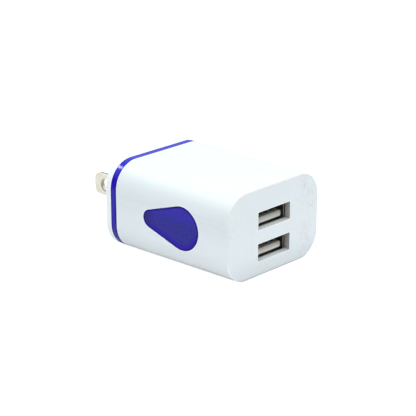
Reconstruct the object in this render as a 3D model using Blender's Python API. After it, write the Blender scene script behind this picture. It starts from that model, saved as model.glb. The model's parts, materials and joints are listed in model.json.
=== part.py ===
"""USB wall charger with two sockets, built from its separate pieces. Metres, +Z up.

The origin is the middle of the back cover's outer face, which meets the wall outlet. +Y points into
the wall, along the plug blades, and the sockets face -Y. A "depth" is a distance behind the front face.
"""

import math

import bmesh
import bpy
from mathutils import Vector

MM = 0.001

# Body: a rounded rectangle that widens a little from the front face to the back.
BODY_LENGTH = 46.6 * MM
FRONT_HALF_WIDTH = 18.55 * MM
REAR_HALF_WIDTH = 19.0 * MM
FRONT_HALF_HEIGHT = 12.5 * MM
REAR_HALF_HEIGHT = 13.0 * MM
FRONT_CORNER = 7.4 * MM
REAR_CORNER = 7.9 * MM
FRONT_MIDDLE_Z = -0.25 * MM
REAR_MIDDLE_Z = -0.2 * MM
WALL = 1.8 * MM
FRONT_EDGE_RADIUS = 0.35 * MM
REAR_EDGE_RADIUS = 0.9 * MM

# Light ring between the housing and the back cover, with a lip inside each.
RING_START = 42.06 * MM
RING_END = 44.2 * MM
RING_SEAM = 0.08 * MM
RING_LIP_INSET = WALL + 0.3 * MM
RING_LIP_THICKNESS = 1.2 * MM
RING_LIP_START = 39.6 * MM
RING_LIP_END = 44.9 * MM
COVER_THICKNESS = 1.4 * MM

# Drop window in the left wall: the hull of two circles, its middle line level with the plug.
DROP_HEAD_DEPTH = 16.95 * MM
DROP_HEAD_RADIUS = 6.24 * MM
DROP_TAIL_DEPTH = 28.79 * MM
DROP_TAIL_RADIUS = 2.61 * MM
DROP_GAP = 0.12 * MM
DROP_FLANGE = 1.2 * MM
DROP_FLANGE_THICKNESS = 1.0 * MM

# Plug blades.
BLADE_SPREAD = 12.7 * MM
BLADE_WIDTH = 6.35 * MM
BLADE_THICKNESS = 1.5 * MM
BLADE_LENGTH = 17.0 * MM
BLADE_HOLE_FROM_FACE = 12.5 * MM
BLADE_HOLE_RADIUS = 1.95 * MM
BLADE_TIP_RADIUS = 1.8 * MM
BLADE_START = 0.1 * MM
BLADE_SHANK_RELIEF = 0.1 * MM
BLADE_TAIL_WIDTH = 4.0 * MM
BLADE_TAIL_DEPTH = 40.4 * MM
BLADE_SHOULDER_DEPTH = 43.0 * MM
BLADE_SLOT_GAP = 0.1 * MM
BOSS_DEPTH = 42.0 * MM
BOSS_MARGIN = 1.2 * MM

# Sockets, one above the other, contacts on the top face of each tongue.
SOCKET_PAIR_Z = -1.51 * MM
SOCKET_PITCH = 9.0 * MM
CUTOUT_WIDTH = 13.0 * MM
CUTOUT_HEIGHT = 5.0 * MM
SHELL_INNER_WIDTH = 12.5 * MM
SHELL_INNER_HEIGHT = 5.12 * MM
SHELL_THICKNESS = 0.3 * MM
SHELL_CORNER = 0.25 * MM
SHELL_START = 2.1 * MM
SHELL_END = 15.6 * MM
SHELL_LEG_END = 18.2 * MM
SHELL_LEG_HEIGHT = 2.0 * MM
TONGUE_WIDTH = 11.1 * MM
TONGUE_TOP = -0.16 * MM
TONGUE_THICKNESS = 1.84 * MM
TONGUE_START = 2.45 * MM
BLOCK_START = 12.0 * MM
BLOCK_END = 15.3 * MM
BLOCK_GAP = 0.1 * MM
GROOVE_WIDTH = 1.3 * MM
GROOVE_FLOOR = -1.2 * MM
GROOVE_START = 3.3 * MM
CONTACT_WIDTH = 1.0 * MM
CONTACT_THICKNESS = 0.25 * MM
CONTACT_ROOT_Z = -0.95 * MM
CONTACT_ROOT_DEPTH = 11.3 * MM
# The finger's middle line from its root to its tip, as (depth, height above the socket's middle).
CONTACT_PATH = (
    (CONTACT_ROOT_DEPTH, CONTACT_ROOT_Z),
    (8.6 * MM, -0.62 * MM),
    (5.6 * MM, 0.12 * MM),
    (5.0 * MM, 0.2 * MM),
    (4.4 * MM, 0.12 * MM),
    (3.6 * MM, -0.35 * MM),
)
TAIL_START = 11.7 * MM
TAIL_END = 18.4 * MM
TAIL_WIDTH = 0.7 * MM
CONTACT_PLACES = {
    "power": -3.5 * MM,
    "data_minus": -1.0 * MM,
    "data_plus": 1.0 * MM,
    "ground": 3.5 * MM,
}

# Boards.
BOARD_THICKNESS = 1.2 * MM
SOCKET_BOARD_DEPTH = 16.0 * MM
SOCKET_BOARD_HALF = (15.0 * MM, 9.9 * MM)
SOCKET_BOARD_MIDDLE_Z = -0.3 * MM
SOCKET_BOARD_CHAMFER = 3.0 * MM
MAIN_BOARD_START = 17.5 * MM
MAIN_BOARD_END = 39.3 * MM
MAIN_BOARD_HALF_WIDTH = 14.6 * MM
MAIN_BOARD_TOP = -7.8 * MM
MAIN_BOARD_BOTTOM = MAIN_BOARD_TOP - BOARD_THICKNESS
LEAD = 0.6 * MM
LEAD_BOTTOM = MAIN_BOARD_BOTTOM - 1.0 * MM
HOLE_GAP = 0.15 * MM
REST_GAP = 0.1 * MM
LINK_PIN_PLACES = (-10.5 * MM, -8.0 * MM, 8.0 * MM, 10.5 * MM)
LINK_PIN_DEPTH = 18.1 * MM
LINK_PIN_Z = -6.0 * MM
LINK_PIN_FRONT = 15.4 * MM

# Leaf contacts that press on the blade tails.
LEAF_WIDTH = 4.0 * MM
LEAF_THICKNESS = 0.35 * MM
LEAF_DEPTH = 38.2 * MM
# The leaf's bent upper end, as (distance behind its foot, z).
LEAF_BEND = (
    (0.0, -2.6 * MM),
    (1.5 * MM, -0.5 * MM),
    (1.5 * MM, 0.5 * MM),
    (0.5 * MM, 2.2 * MM),
)

# Transformer, as distances from its own middle.
TRANSFORMER_PLACE = (-1.3 * MM, 29.8 * MM)
TRANSFORMER_MIDDLE_Z = -1.6 * MM
CORE_HALF_WIDTH = 6.6 * MM
CORE_HALF_LENGTH = 6.0 * MM
CORE_HALF_HEIGHT = 2.95 * MM
CORE_BACK = 1.4 * MM
CORE_LEG_INNER = 4.7 * MM
CORE_MIDDLE_LEG = 1.35 * MM
CORE_GAP = 0.15 * MM
SPOOL_HALF_LENGTH = 4.4 * MM
SPOOL_WALL = 0.6 * MM
SPOOL_FLANGE = 0.8 * MM
SPOOL_FLANGE_HALF = (4.5 * MM, 6.0 * MM)
WINDING_HALF = (4.3 * MM, 5.6 * MM)

# Round parts that stand on the main board: middle x, depth, radius, height, distance between leads.
STANDING_PARTS = {
    "input_capacitor_1": (10.2 * MM, 22.9 * MM, 4.0 * MM, 12.0 * MM, 3.5 * MM),
    "input_capacitor_2": (10.2 * MM, 31.3 * MM, 4.0 * MM, 12.0 * MM, 3.5 * MM),
    "output_capacitor_1": (-11.4 * MM, 25.6 * MM, 3.15 * MM, 11.5 * MM, 2.5 * MM),
    "output_capacitor_2": (-11.4 * MM, 32.0 * MM, 3.15 * MM, 11.5 * MM, 2.5 * MM),
    "input_inductor": (11.4 * MM, 37.3 * MM, 1.8 * MM, 6.0 * MM, 1.6 * MM),
}
RESISTOR_PLACE = (-0.5 * MM, 37.05 * MM)
RESISTOR_RADIUS = 1.15 * MM
RESISTOR_HALF_LENGTH = 3.2 * MM
RESISTOR_LEAD_REACH = 4.0 * MM
BRIDGE_PLACE = (-11.5 * MM, 37.1 * MM)
BRIDGE_HALF = (1.8 * MM, 1.6 * MM)
BRIDGE_LEG_REACH = 2.3 * MM
BRIDGE_LEG_SPREAD = 1.0 * MM
OPTO_PLACE = (0.5 * MM, 21.0 * MM)
OPTO_HALF = (3.25 * MM, 2.3 * MM)
OPTO_LEG_REACH = 3.81 * MM
OPTO_LEG_SPREAD = 1.27 * MM
DISC_MIDDLE_Z = 2.0 * MM
DISC_RADIUS = 4.0 * MM
DISC_HALF_THICKNESS = 1.6 * MM
# The disc's leads before they turn down, as (distance sideways, distance below its middle).
DISC_LEAD_BEND = ((1.5 * MM, 2.5 * MM), (2.2 * MM, 4.5 * MM))
DISC_LEAD_DROP = 6.0 * MM
DIODE_PLACE = (-6.4 * MM, 20.8 * MM)
DIODE_HALF = (1.35 * MM, 2.2 * MM)
DIODE_HEIGHT = 2.1 * MM
DIODE_SHOULDER = 1.0 * MM
CHIP_PLACE = (1.0 * MM, 30.0 * MM)
CHIP_HALF = (1.95 * MM, 2.45 * MM)
CHIP_HEIGHT = 1.35 * MM
CHIP_PITCH = 1.27 * MM
CHIP_LEG_WIDTH = 0.4 * MM
CHIP_LEG_THICKNESS = 0.18 * MM
CHIP_LEG_SIDE = 0.4 * MM
CHIP_FOOT = 0.6 * MM
LAMP_DEPTH = 20.4 * MM
LAMP_Z = -4.6 * MM
LAMP_LEAD_X = -9.6 * MM
LAMP_LEAD_SPREAD = 0.9 * MM
LAMP_RESISTOR_PLACE = (-9.0 * MM, 24.0 * MM)
LAMP_RESISTOR_HALF = (0.8 * MM, 1.6 * MM)
LAMP_RESISTOR_HEIGHT = 0.6 * MM

CORNER_STEPS = 8
ROUND_STEPS = 24


def clear_scene():
    for item in list(bpy.data.objects):
        bpy.data.objects.remove(item, do_unlink=True)


def plastic(name, colour, roughness, transmission=0.0):
    return finish(name, colour, roughness, 0.0, transmission)


def metal(name, colour, roughness):
    return finish(name, colour, roughness, 1.0, 0.0)


def finish(name, colour, roughness, metallic, transmission):
    material = bpy.data.materials.new(name)
    material.use_nodes = True
    shader = material.node_tree.nodes["Principled BSDF"]
    shader.inputs["Base Color"].default_value = (*colour, 1.0)
    shader.inputs["Roughness"].default_value = roughness
    shader.inputs["Metallic"].default_value = metallic
    shader.inputs["Transmission Weight"].default_value = transmission
    material.diffuse_color = (*colour, 1.0)
    return material


def at_depth(depth):
    """The y of a plane this far behind the front face."""
    return depth - BODY_LENGTH


def between(front, rear, y):
    return front + (rear - front) * (y + BODY_LENGTH) / BODY_LENGTH


def half_width(y):
    return between(FRONT_HALF_WIDTH, REAR_HALF_WIDTH, y)


def rounded_rectangle(middle, half_x, half_z, radius):
    """Points round a rounded rectangle that faces along Y."""
    points = []
    for quarter, (side, top) in enumerate(((1, 1), (-1, 1), (-1, -1), (1, -1))):
        for step in range(CORNER_STEPS + 1):
            angle = math.pi / 2 * (quarter + step / CORNER_STEPS)
            x = side * (half_x - radius) + radius * math.cos(angle)
            z = top * (half_z - radius) + radius * math.sin(angle)
            points.append(middle + Vector((x, 0, z)))
    return points


def section(depth, inset):
    """The body's outline at a depth, moved inwards by inset."""
    y = at_depth(depth)
    middle = Vector((0, y, between(FRONT_MIDDLE_Z, REAR_MIDDLE_Z, y)))
    across = half_width(y) - inset
    up = between(FRONT_HALF_HEIGHT, REAR_HALF_HEIGHT, y) - inset
    return rounded_rectangle(middle, across, up, between(FRONT_CORNER, REAR_CORNER, y) - inset)


def circle(middle, radius, axis):
    """Points round a circle about an axis, "X", "Y" or "Z", through the middle."""
    points = []
    for step in range(ROUND_STEPS):
        angle = 2 * math.pi * step / ROUND_STEPS
        a = radius * math.cos(angle)
        b = radius * math.sin(angle)
        offset = {"X": (0, a, b), "Y": (a, 0, b), "Z": (a, b, 0)}[axis]
        points.append(middle + Vector(offset))
    return points


def loft(shape, loops, closed=False):
    """Joins each loop of points to the next. The ends are capped, or joined to each other if closed."""
    rings = [[shape.verts.new(point) for point in loop] for loop in loops]
    pairs = list(zip(rings, rings[1:]))
    if closed:
        pairs.append((rings[-1], rings[0]))
    for ring, following in pairs:
        for i in range(len(ring)):
            j = (i + 1) % len(ring)
            shape.faces.new((ring[i], ring[j], following[j], following[i]))
    if not closed:
        shape.faces.new(rings[0])
        shape.faces.new(rings[-1])


def box(shape, x_range, y_range, z_range):
    """Adds a box that spans the three ranges."""
    loops = []
    for z in z_range:
        corners = ((0, 0), (1, 0), (1, 1), (0, 1))
        loops.append([Vector((x_range[i], y_range[j], z)) for i, j in corners])
    loft(shape, loops)


def around(middle, half):
    return (middle - half, middle + half)


def turned(shape, middle, axis, profile):
    """Adds a body of revolution: the profile's pairs are (distance along the axis, radius)."""
    direction = Vector({"X": (1, 0, 0), "Y": (0, 1, 0), "Z": (0, 0, 1)}[axis])
    loft(shape, [circle(middle + direction * along, radius, axis) for along, radius in profile])


def strip(shape, path, thickness, width, axis, place):
    """Adds a flat strip bent along a path that lies across an axis.

    Across "X" the path's pairs are (depth, z), and across "Y" they are (x, z). The strip's middle
    lies at place on that axis.
    """
    loops = []
    last = len(path) - 1
    for i, point in enumerate(path):
        here = Vector(point)
        before = (here - Vector(path[i - 1])).normalized() if i else None
        after = (Vector(path[i + 1]) - here).normalized() if i < last else None
        along = ((before or after) + (after or before)).normalized()
        stretch = 1.0 / along.dot(after or before)
        offset = Vector((-along.y, along.x)) * thickness / 2 * stretch
        corners = ((offset, 1), (offset, -1), (-offset, -1), (-offset, 1))
        loop = []
        for shift, side in corners:
            across = place + side * width / 2
            flat = here + shift
            if axis == "X":
                loop.append(Vector((across, at_depth(flat.x), flat.y)))
            else:
                loop.append(Vector((flat.x, across, flat.y)))
        loops.append(loop)
    loft(shape, loops)


def mesh_of(name, shape):
    bmesh.ops.recalc_face_normals(shape, faces=shape.faces)
    mesh = bpy.data.meshes.new(name)
    shape.to_mesh(mesh)
    shape.free()
    return mesh


def piece(name, shape, material, smooth=False):
    mesh = mesh_of(name, shape)
    mesh.materials.append(material)
    item = bpy.data.objects.new(name, mesh)
    bpy.context.collection.objects.link(item)
    if smooth:
        mesh.shade_smooth()
        mesh.set_sharp_from_angle(angle=math.radians(30))
    return item


def combine(item, shape, operation):
    """Joins the shape to the item (UNION), cuts it out (DIFFERENCE) or keeps what both hold (INTERSECT)."""
    tool = bpy.data.objects.new(item.name + "_tool", mesh_of(item.name + "_tool", shape))
    tool.hide_render = True
    tool.display_type = "WIRE"
    bpy.context.collection.objects.link(tool)
    modifier = item.modifiers.new(operation.title(), "BOOLEAN")
    modifier.operation = operation
    modifier.solver = "EXACT"
    modifier.object = tool
    graph = bpy.context.evaluated_depsgraph_get()
    result = bpy.data.meshes.new_from_object(item.evaluated_get(graph))
    item.modifiers.clear()
    item.data = result
    bpy.data.objects.remove(tool, do_unlink=True)


def join_each(item, shapes):
    for shape in shapes:
        combine(item, shape, "UNION")


def socket_middles():
    return {
        "upper": SOCKET_PAIR_Z + SOCKET_PITCH / 2,
        "lower": SOCKET_PAIR_Z - SOCKET_PITCH / 2,
    }


def drop_outline(growth, x):
    """The drop's outline at this x, as points: two arcs and the straight lines that touch both."""
    head = DROP_HEAD_RADIUS + growth
    tail = DROP_TAIL_RADIUS + growth
    distance = DROP_TAIL_DEPTH - DROP_HEAD_DEPTH
    lean = math.acos((head - tail) / distance)
    points = []
    for middle, radius, start, turn in (
        (DROP_HEAD_DEPTH, head, lean, 2 * (math.pi - lean)),
        (DROP_TAIL_DEPTH, tail, -lean, 2 * lean),
    ):
        for step in range(ROUND_STEPS + 1):
            angle = start + turn * step / ROUND_STEPS
            y = at_depth(middle + radius * math.cos(angle))
            points.append(Vector((x, y, radius * math.sin(angle))))
    return points


def drop_prism(growth):
    """A straight bar with the drop's outline that runs through the left wall."""
    shape = bmesh.new()
    reach = 5 * MM
    loft(shape, [drop_outline(growth, x) for x in around(-REAR_HALF_WIDTH, reach)])
    return shape


def body_band(outer_inset, inner_inset):
    """The part of the body between two depths inside its surface, along the drop's length."""
    shape = bmesh.new()
    start = 5 * MM
    end = 37 * MM
    loops = []
    for depth, inset in (
        (start, outer_inset),
        (end, outer_inset),
        (end, inner_inset),
        (start, inner_inset),
    ):
        loops.append(section(depth, inset))
    loft(shape, loops, closed=True)
    return shape


def outer_housing(material):
    """The sleeve and the front face, one moulding, with socket and drop cut-outs and board ribs."""
    shape = bmesh.new()
    radius = FRONT_EDGE_RADIUS
    loops = [
        section(0, radius),
        section(radius * (1 - math.cos(math.radians(45))), radius * (1 - math.sin(math.radians(45)))),
        section(radius, 0),
        section(RING_START, 0),
        section(RING_START, WALL),
        section(WALL, WALL),
    ]
    loft(shape, loops)
    housing = piece("outer_housing", shape, material, smooth=True)

    cutters = bmesh.new()
    reach = 4 * MM
    for middle_z in socket_middles().values():
        box(
            cutters,
            around(0, CUTOUT_WIDTH / 2),
            (at_depth(-reach), at_depth(reach)),
            around(middle_z, CUTOUT_HEIGHT / 2),
        )
    combine(housing, cutters, "DIFFERENCE")
    combine(housing, drop_prism(0), "DIFFERENCE")
    join_each(housing, board_ribs())
    return housing


def board_ribs():
    """Ribs on the roof and the floor that hold the socket board between them."""
    rib_half_width = 1.0 * MM
    rib_length = 1.0 * MM
    rib_gap = 0.2 * MM
    grip = 0.4 * MM
    bury = 1.0 * MM
    roof_ribs_x = 7.0 * MM
    floor_ribs_x = 4.0 * MM
    board_top = SOCKET_BOARD_MIDDLE_Z + SOCKET_BOARD_HALF[1]
    board_bottom = SOCKET_BOARD_MIDDLE_Z - SOCKET_BOARD_HALF[1]
    front = SOCKET_BOARD_DEPTH - rib_gap - rib_length
    rear = SOCKET_BOARD_DEPTH + BOARD_THICKNESS + rib_gap
    wall_top = FRONT_HALF_HEIGHT + FRONT_MIDDLE_Z - WALL + bury
    wall_bottom = -FRONT_HALF_HEIGHT + FRONT_MIDDLE_Z + WALL - bury
    ribs = []
    for side in (-1, 1):
        for depth in (front, rear):
            depths = (at_depth(depth), at_depth(depth + rib_length))
            for x, heights in (
                (side * roof_ribs_x, (board_top - grip, wall_top)),
                (side * floor_ribs_x, (wall_bottom, board_bottom + grip)),
            ):
                rib = bmesh.new()
                box(rib, around(x, rib_half_width), depths, heights)
                ribs.append(rib)
    return ribs


def light_ring(material):
    """The visible band, with a lip that runs into the housing and another into the back cover."""
    shape = bmesh.new()
    lip_inner = RING_LIP_INSET + RING_LIP_THICKNESS
    outline = (
        (RING_START + RING_SEAM, 0),
        (RING_END - RING_SEAM, 0),
        (RING_END - RING_SEAM, RING_LIP_INSET),
        (RING_LIP_END, RING_LIP_INSET),
        (RING_LIP_END, lip_inner),
        (RING_LIP_START, lip_inner),
        (RING_LIP_START, RING_LIP_INSET),
        (RING_START + RING_SEAM, RING_LIP_INSET),
    )
    loft(shape, [section(depth, inset) for depth, inset in outline], closed=True)
    return piece("light_ring", shape, material, smooth=True)


def back_cover(material):
    """The plate that carries the blades, with a rim that meets the light ring."""
    shape = bmesh.new()
    plate_front = BODY_LENGTH - COVER_THICKNESS
    loops = [section(plate_front, WALL), section(RING_END, WALL), section(RING_END, 0)]
    edge_steps = 3
    for step in range(edge_steps + 1):
        angle = math.pi / 2 * step / edge_steps
        depth = BODY_LENGTH - REAR_EDGE_RADIUS * (1 - math.sin(angle))
        loops.append(section(depth, REAR_EDGE_RADIUS * (1 - math.cos(angle))))
    loft(shape, loops)
    cover = piece("back_cover", shape, material, smooth=True)

    slots = bmesh.new()
    beyond = 2 * MM
    for side in (-1, 1):
        x = side * BLADE_SPREAD / 2
        boss = bmesh.new()
        box(
            boss,
            around(x, BLADE_THICKNESS / 2 + BOSS_MARGIN),
            (at_depth(BOSS_DEPTH), at_depth(plate_front + COVER_THICKNESS / 2)),
            around(0, BLADE_WIDTH / 2 + BOSS_MARGIN),
        )
        combine(cover, boss, "UNION")
        box(
            slots,
            around(x, BLADE_THICKNESS / 2 + BLADE_SLOT_GAP),
            (at_depth(BOSS_DEPTH - beyond), beyond),
            around(0, BLADE_WIDTH / 2 + BLADE_SLOT_GAP),
        )
    combine(cover, slots, "DIFFERENCE")
    return cover


def drop_window(material):
    """A lens flush with the side of the housing, with a flange that rests inside the wall."""
    seat = WALL + REST_GAP
    inside = seat + DROP_FLANGE_THICKNESS
    window = piece("drop_window", drop_prism(-DROP_GAP), material, smooth=True)
    combine(window, body_band(0, seat + DROP_FLANGE_THICKNESS / 2), "INTERSECT")
    flange = piece("drop_window_flange", drop_prism(DROP_FLANGE), material)
    combine(flange, body_band(seat, inside), "INTERSECT")
    shape = bmesh.new()
    shape.from_mesh(flange.data)
    bpy.data.objects.remove(flange, do_unlink=True)
    combine(window, shape, "UNION")
    return window


def plug_blade(name, side, material):
    """A flat blade with a rounded tip and a hole, on a slimmer shank and tail that the cover holds."""
    shape = bmesh.new()
    half = BLADE_WIDTH / 2
    outline = [(BLADE_START, -half)]
    corner_steps = 5
    for top in (-1, 1):
        for step in range(corner_steps + 1):
            angle = math.pi / 2 * (step / corner_steps if top > 0 else step / corner_steps - 1)
            y = BLADE_LENGTH - BLADE_TIP_RADIUS * (1 - math.cos(angle))
            z = top * (half - BLADE_TIP_RADIUS) + BLADE_TIP_RADIUS * math.sin(angle)
            outline.append((y, z))
    outline.append((BLADE_START, half))
    x = side * BLADE_SPREAD / 2
    faces = around(x, BLADE_THICKNESS / 2)
    loft(shape, [[Vector((face, y, z)) for y, z in outline] for face in faces])
    blade = piece(name, shape, material, smooth=True)

    shank_faces = around(x, BLADE_THICKNESS / 2 - BLADE_SHANK_RELIEF)
    shoulder = at_depth(BLADE_SHOULDER_DEPTH)
    overlap = 0.5 * MM
    for ends, half_height in (
        ((shoulder, BLADE_START + overlap), half - BLADE_SHANK_RELIEF),
        ((at_depth(BLADE_TAIL_DEPTH), shoulder + overlap), BLADE_TAIL_WIDTH / 2),
    ):
        shank = bmesh.new()
        box(shank, shank_faces, ends, around(0, half_height))
        combine(blade, shank, "UNION")

    hole = bmesh.new()
    turned(
        hole,
        Vector((x, BLADE_HOLE_FROM_FACE, 0)),
        "X",
        ((-BLADE_THICKNESS, BLADE_HOLE_RADIUS), (BLADE_THICKNESS, BLADE_HOLE_RADIUS)),
    )
    combine(blade, hole, "DIFFERENCE")
    return blade


def blade_leaf(name, side, material):
    """A springy strip that stands on the main board and presses on the blade's tail."""
    shape = bmesh.new()
    path = [(LEAF_DEPTH, LEAD_BOTTOM)]
    path += [(LEAF_DEPTH + behind, z) for behind, z in LEAF_BEND]
    strip(shape, path, LEAF_THICKNESS, LEAF_WIDTH, "X", side * BLADE_SPREAD / 2)
    return piece(name, shape, material)


def usb_shell(name, middle_z, material):
    """A folded metal sleeve open at both ends, with a leg on each side that goes through the board."""
    shape = bmesh.new()
    ends = (at_depth(SHELL_START), at_depth(SHELL_END))
    inner_x = SHELL_INNER_WIDTH / 2
    inner_z = SHELL_INNER_HEIGHT / 2
    loops = []
    for y, grow in ((ends[0], SHELL_THICKNESS), (ends[1], SHELL_THICKNESS), (ends[1], 0), (ends[0], 0)):
        middle = Vector((0, y, middle_z))
        loops.append(
            rounded_rectangle(middle, inner_x + grow, inner_z + grow, SHELL_CORNER + grow)
        )
    loft(shape, loops, closed=True)
    shell = piece(name, shape, material, smooth=True)
    leg_half_thickness = 0.12 * MM
    overlap = 1.0 * MM
    legs = []
    for side in (-1, 1):
        leg = bmesh.new()
        box(
            leg,
            around(side * (inner_x + SHELL_THICKNESS / 2), leg_half_thickness),
            (at_depth(SHELL_END - overlap), at_depth(SHELL_LEG_END)),
            around(middle_z, SHELL_LEG_HEIGHT / 2),
        )
        legs.append(leg)
    join_each(shell, legs)
    return shell


def usb_insulator(name, middle_z, material):
    """The block at the back of a socket and its tongue, grooved for the four contacts."""
    shape = bmesh.new()
    box(
        shape,
        around(0, SHELL_INNER_WIDTH / 2 - BLOCK_GAP),
        (at_depth(BLOCK_START), at_depth(BLOCK_END)),
        around(middle_z, SHELL_INNER_HEIGHT / 2 - BLOCK_GAP),
    )
    insulator = piece(name, shape, material)
    tongue = bmesh.new()
    bury = 1.0 * MM
    box(
        tongue,
        around(0, TONGUE_WIDTH / 2),
        (at_depth(TONGUE_START), at_depth(BLOCK_START + bury)),
        (middle_z + TONGUE_TOP - TONGUE_THICKNESS, middle_z + TONGUE_TOP),
    )
    combine(insulator, tongue, "UNION")
    grooves = bmesh.new()
    channels = bmesh.new()
    overlap = 0.2 * MM
    for x in CONTACT_PLACES.values():
        box(
            grooves,
            around(x, GROOVE_WIDTH / 2),
            (at_depth(GROOVE_START), at_depth(BLOCK_START)),
            (middle_z + GROOVE_FLOOR, middle_z + bury),
        )
        box(
            channels,
            around(x, GROOVE_WIDTH / 2),
            (at_depth(BLOCK_START - overlap), at_depth(BLOCK_END + overlap)),
            (middle_z + GROOVE_FLOOR, middle_z + TONGUE_TOP - overlap),
        )
    combine(insulator, grooves, "DIFFERENCE")
    combine(insulator, channels, "DIFFERENCE")
    return insulator


def usb_contact(name, x, middle_z, material):
    """A springy finger in a groove of the tongue. Its origin is at its root, where it flexes."""
    shape = bmesh.new()
    path = [(depth, middle_z + height) for depth, height in CONTACT_PATH]
    strip(shape, path, CONTACT_THICKNESS, CONTACT_WIDTH, "X", x)
    root = Vector((x, at_depth(CONTACT_ROOT_DEPTH), middle_z + CONTACT_ROOT_Z))
    for vertex in shape.verts:
        vertex.co -= root
    finger = piece(name, shape, material)
    finger.location = root
    return finger


def usb_tail(name, x, middle_z, material):
    """The fixed end of a contact, from the insulator through the socket board."""
    shape = bmesh.new()
    z = middle_z + CONTACT_ROOT_Z
    strip(shape, ((TAIL_START, z), (TAIL_END, z)), CONTACT_THICKNESS, TAIL_WIDTH, "X", x)
    return piece(name, shape, material)


def sockets(finishes):
    for level, middle_z in socket_middles().items():
        usb_shell(f"usb_shell_{level}", middle_z, finishes["socket_steel"])
        usb_insulator(f"usb_insulator_{level}", middle_z, finishes["tongue_plastic"])
        for use, x in CONTACT_PLACES.items():
            usb_contact(f"usb_contact_{level}_{use}", x, middle_z, finishes["contact_metal"])
            usb_tail(f"usb_tail_{level}_{use}", x, middle_z, finishes["contact_metal"])


def socket_board(material):
    shape = bmesh.new()
    half_x, half_z = SOCKET_BOARD_HALF
    cut = SOCKET_BOARD_CHAMFER
    outline = []
    for side, top in ((1, 1), (-1, 1), (-1, -1), (1, -1)):
        corners = [(side * half_x, top * (half_z - cut)), (side * (half_x - cut), top * half_z)]
        if side * top < 0:
            corners.reverse()
        outline += corners
    depths = (SOCKET_BOARD_DEPTH, SOCKET_BOARD_DEPTH + BOARD_THICKNESS)
    loops = []
    for depth in depths:
        loops.append([Vector((x, at_depth(depth), SOCKET_BOARD_MIDDLE_Z + z)) for x, z in outline])
    loft(shape, loops)
    board = piece("socket_board", shape, material)

    holes = bmesh.new()
    through = (at_depth(depths[0] - 1 * MM), at_depth(depths[1] + 1 * MM))
    for middle_z in socket_middles().values():
        for x in CONTACT_PLACES.values():
            box(
                holes,
                around(x, TAIL_WIDTH / 2 + HOLE_GAP),
                through,
                around(middle_z + CONTACT_ROOT_Z, CONTACT_THICKNESS / 2 + HOLE_GAP),
            )
        for side in (-1, 1):
            x = side * (SHELL_INNER_WIDTH + SHELL_THICKNESS) / 2
            box(
                holes,
                around(x, SHELL_THICKNESS / 2 + HOLE_GAP),
                through,
                around(middle_z, SHELL_LEG_HEIGHT / 2 + HOLE_GAP),
            )
    for x in LINK_PIN_PLACES:
        box(holes, around(x, LEAD / 2 + HOLE_GAP), through, around(LINK_PIN_Z, LEAD / 2 + HOLE_GAP))
    combine(board, holes, "DIFFERENCE")
    return board


def lead_places():
    """Where leads pass through the main board, as (x, depth)."""
    places = [(x, LINK_PIN_DEPTH) for x in LINK_PIN_PLACES]
    for x, depth, _, _, spread in STANDING_PARTS.values():
        places += [(x, depth - spread / 2), (x, depth + spread / 2)]
    for side in (-1, 1):
        places.append((RESISTOR_PLACE[0] + side * RESISTOR_LEAD_REACH, RESISTOR_PLACE[1]))
        places.append((OPTO_PLACE[0] + side * OPTO_LEG_REACH, OPTO_PLACE[1]))
        places.append((LAMP_LEAD_X, LAMP_DEPTH + side * LAMP_LEAD_SPREAD))
        for end in (-1, 1):
            places.append(
                (
                    BRIDGE_PLACE[0] + side * BRIDGE_LEG_REACH,
                    BRIDGE_PLACE[1] + end * BRIDGE_LEG_SPREAD,
                )
            )
            places.append(
                (
                    OPTO_PLACE[0] + side * OPTO_LEG_REACH,
                    OPTO_PLACE[1] + end * OPTO_LEG_SPREAD,
                )
            )
            places.append(bobbin_pin_place(side, end))
    return places


def bobbin_pin_place(side, end):
    pin_x = 3.0 * MM
    pin_depth = SPOOL_HALF_LENGTH - SPOOL_FLANGE / 2
    return (TRANSFORMER_PLACE[0] + side * pin_x, TRANSFORMER_PLACE[1] + end * pin_depth)


def main_board(material):
    shape = bmesh.new()
    heights = (MAIN_BOARD_BOTTOM, MAIN_BOARD_TOP)
    box(
        shape,
        around(0, MAIN_BOARD_HALF_WIDTH),
        (at_depth(MAIN_BOARD_START), at_depth(MAIN_BOARD_END)),
        heights,
    )
    board = piece("main_board", shape, material)
    holes = bmesh.new()
    through = (heights[0] - 1 * MM, heights[1] + 1 * MM)
    for x, depth in lead_places():
        half = LEAD / 2 + HOLE_GAP
        box(holes, around(x, half), around(at_depth(depth), half), through)
    for side in (-1, 1):
        box(
            holes,
            around(side * BLADE_SPREAD / 2, LEAF_WIDTH / 2 + HOLE_GAP),
            around(at_depth(LEAF_DEPTH), LEAF_THICKNESS / 2 + HOLE_GAP),
            through,
        )
    combine(board, holes, "DIFFERENCE")
    return board


def link_pins(material):
    """Bent pins that join the socket board to the main board."""
    path = (
        (LINK_PIN_DEPTH, LEAD_BOTTOM),
        (LINK_PIN_DEPTH, LINK_PIN_Z),
        (LINK_PIN_FRONT, LINK_PIN_Z),
    )
    for number, x in enumerate(LINK_PIN_PLACES, start=1):
        shape = bmesh.new()
        strip(shape, path, LEAD, LEAD, "X", x)
        piece(f"link_pin_{number}", shape, material)


def straight_lead(x, depth, top):
    lead = bmesh.new()
    box(lead, around(x, LEAD / 2), around(at_depth(depth), LEAD / 2), (LEAD_BOTTOM, top))
    return lead


def can_profile(radius, height):
    """A can with a small chamfer at each end, as (height, radius) pairs."""
    edge = 0.4 * MM
    return ((0, radius - edge), (edge, radius), (height - edge, radius), (height, radius - edge))


def drum_profile(radius, height):
    """A drum with a narrower waist between two rims, as (height, radius) pairs."""
    rim = 0.4 * MM
    slope = 0.4 * MM
    waist = radius - 0.8 * MM
    return (
        (0, radius),
        (rim, radius),
        (rim + slope, waist),
        (height - rim - slope, waist),
        (height - rim, radius),
        (height, radius),
    )


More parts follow.
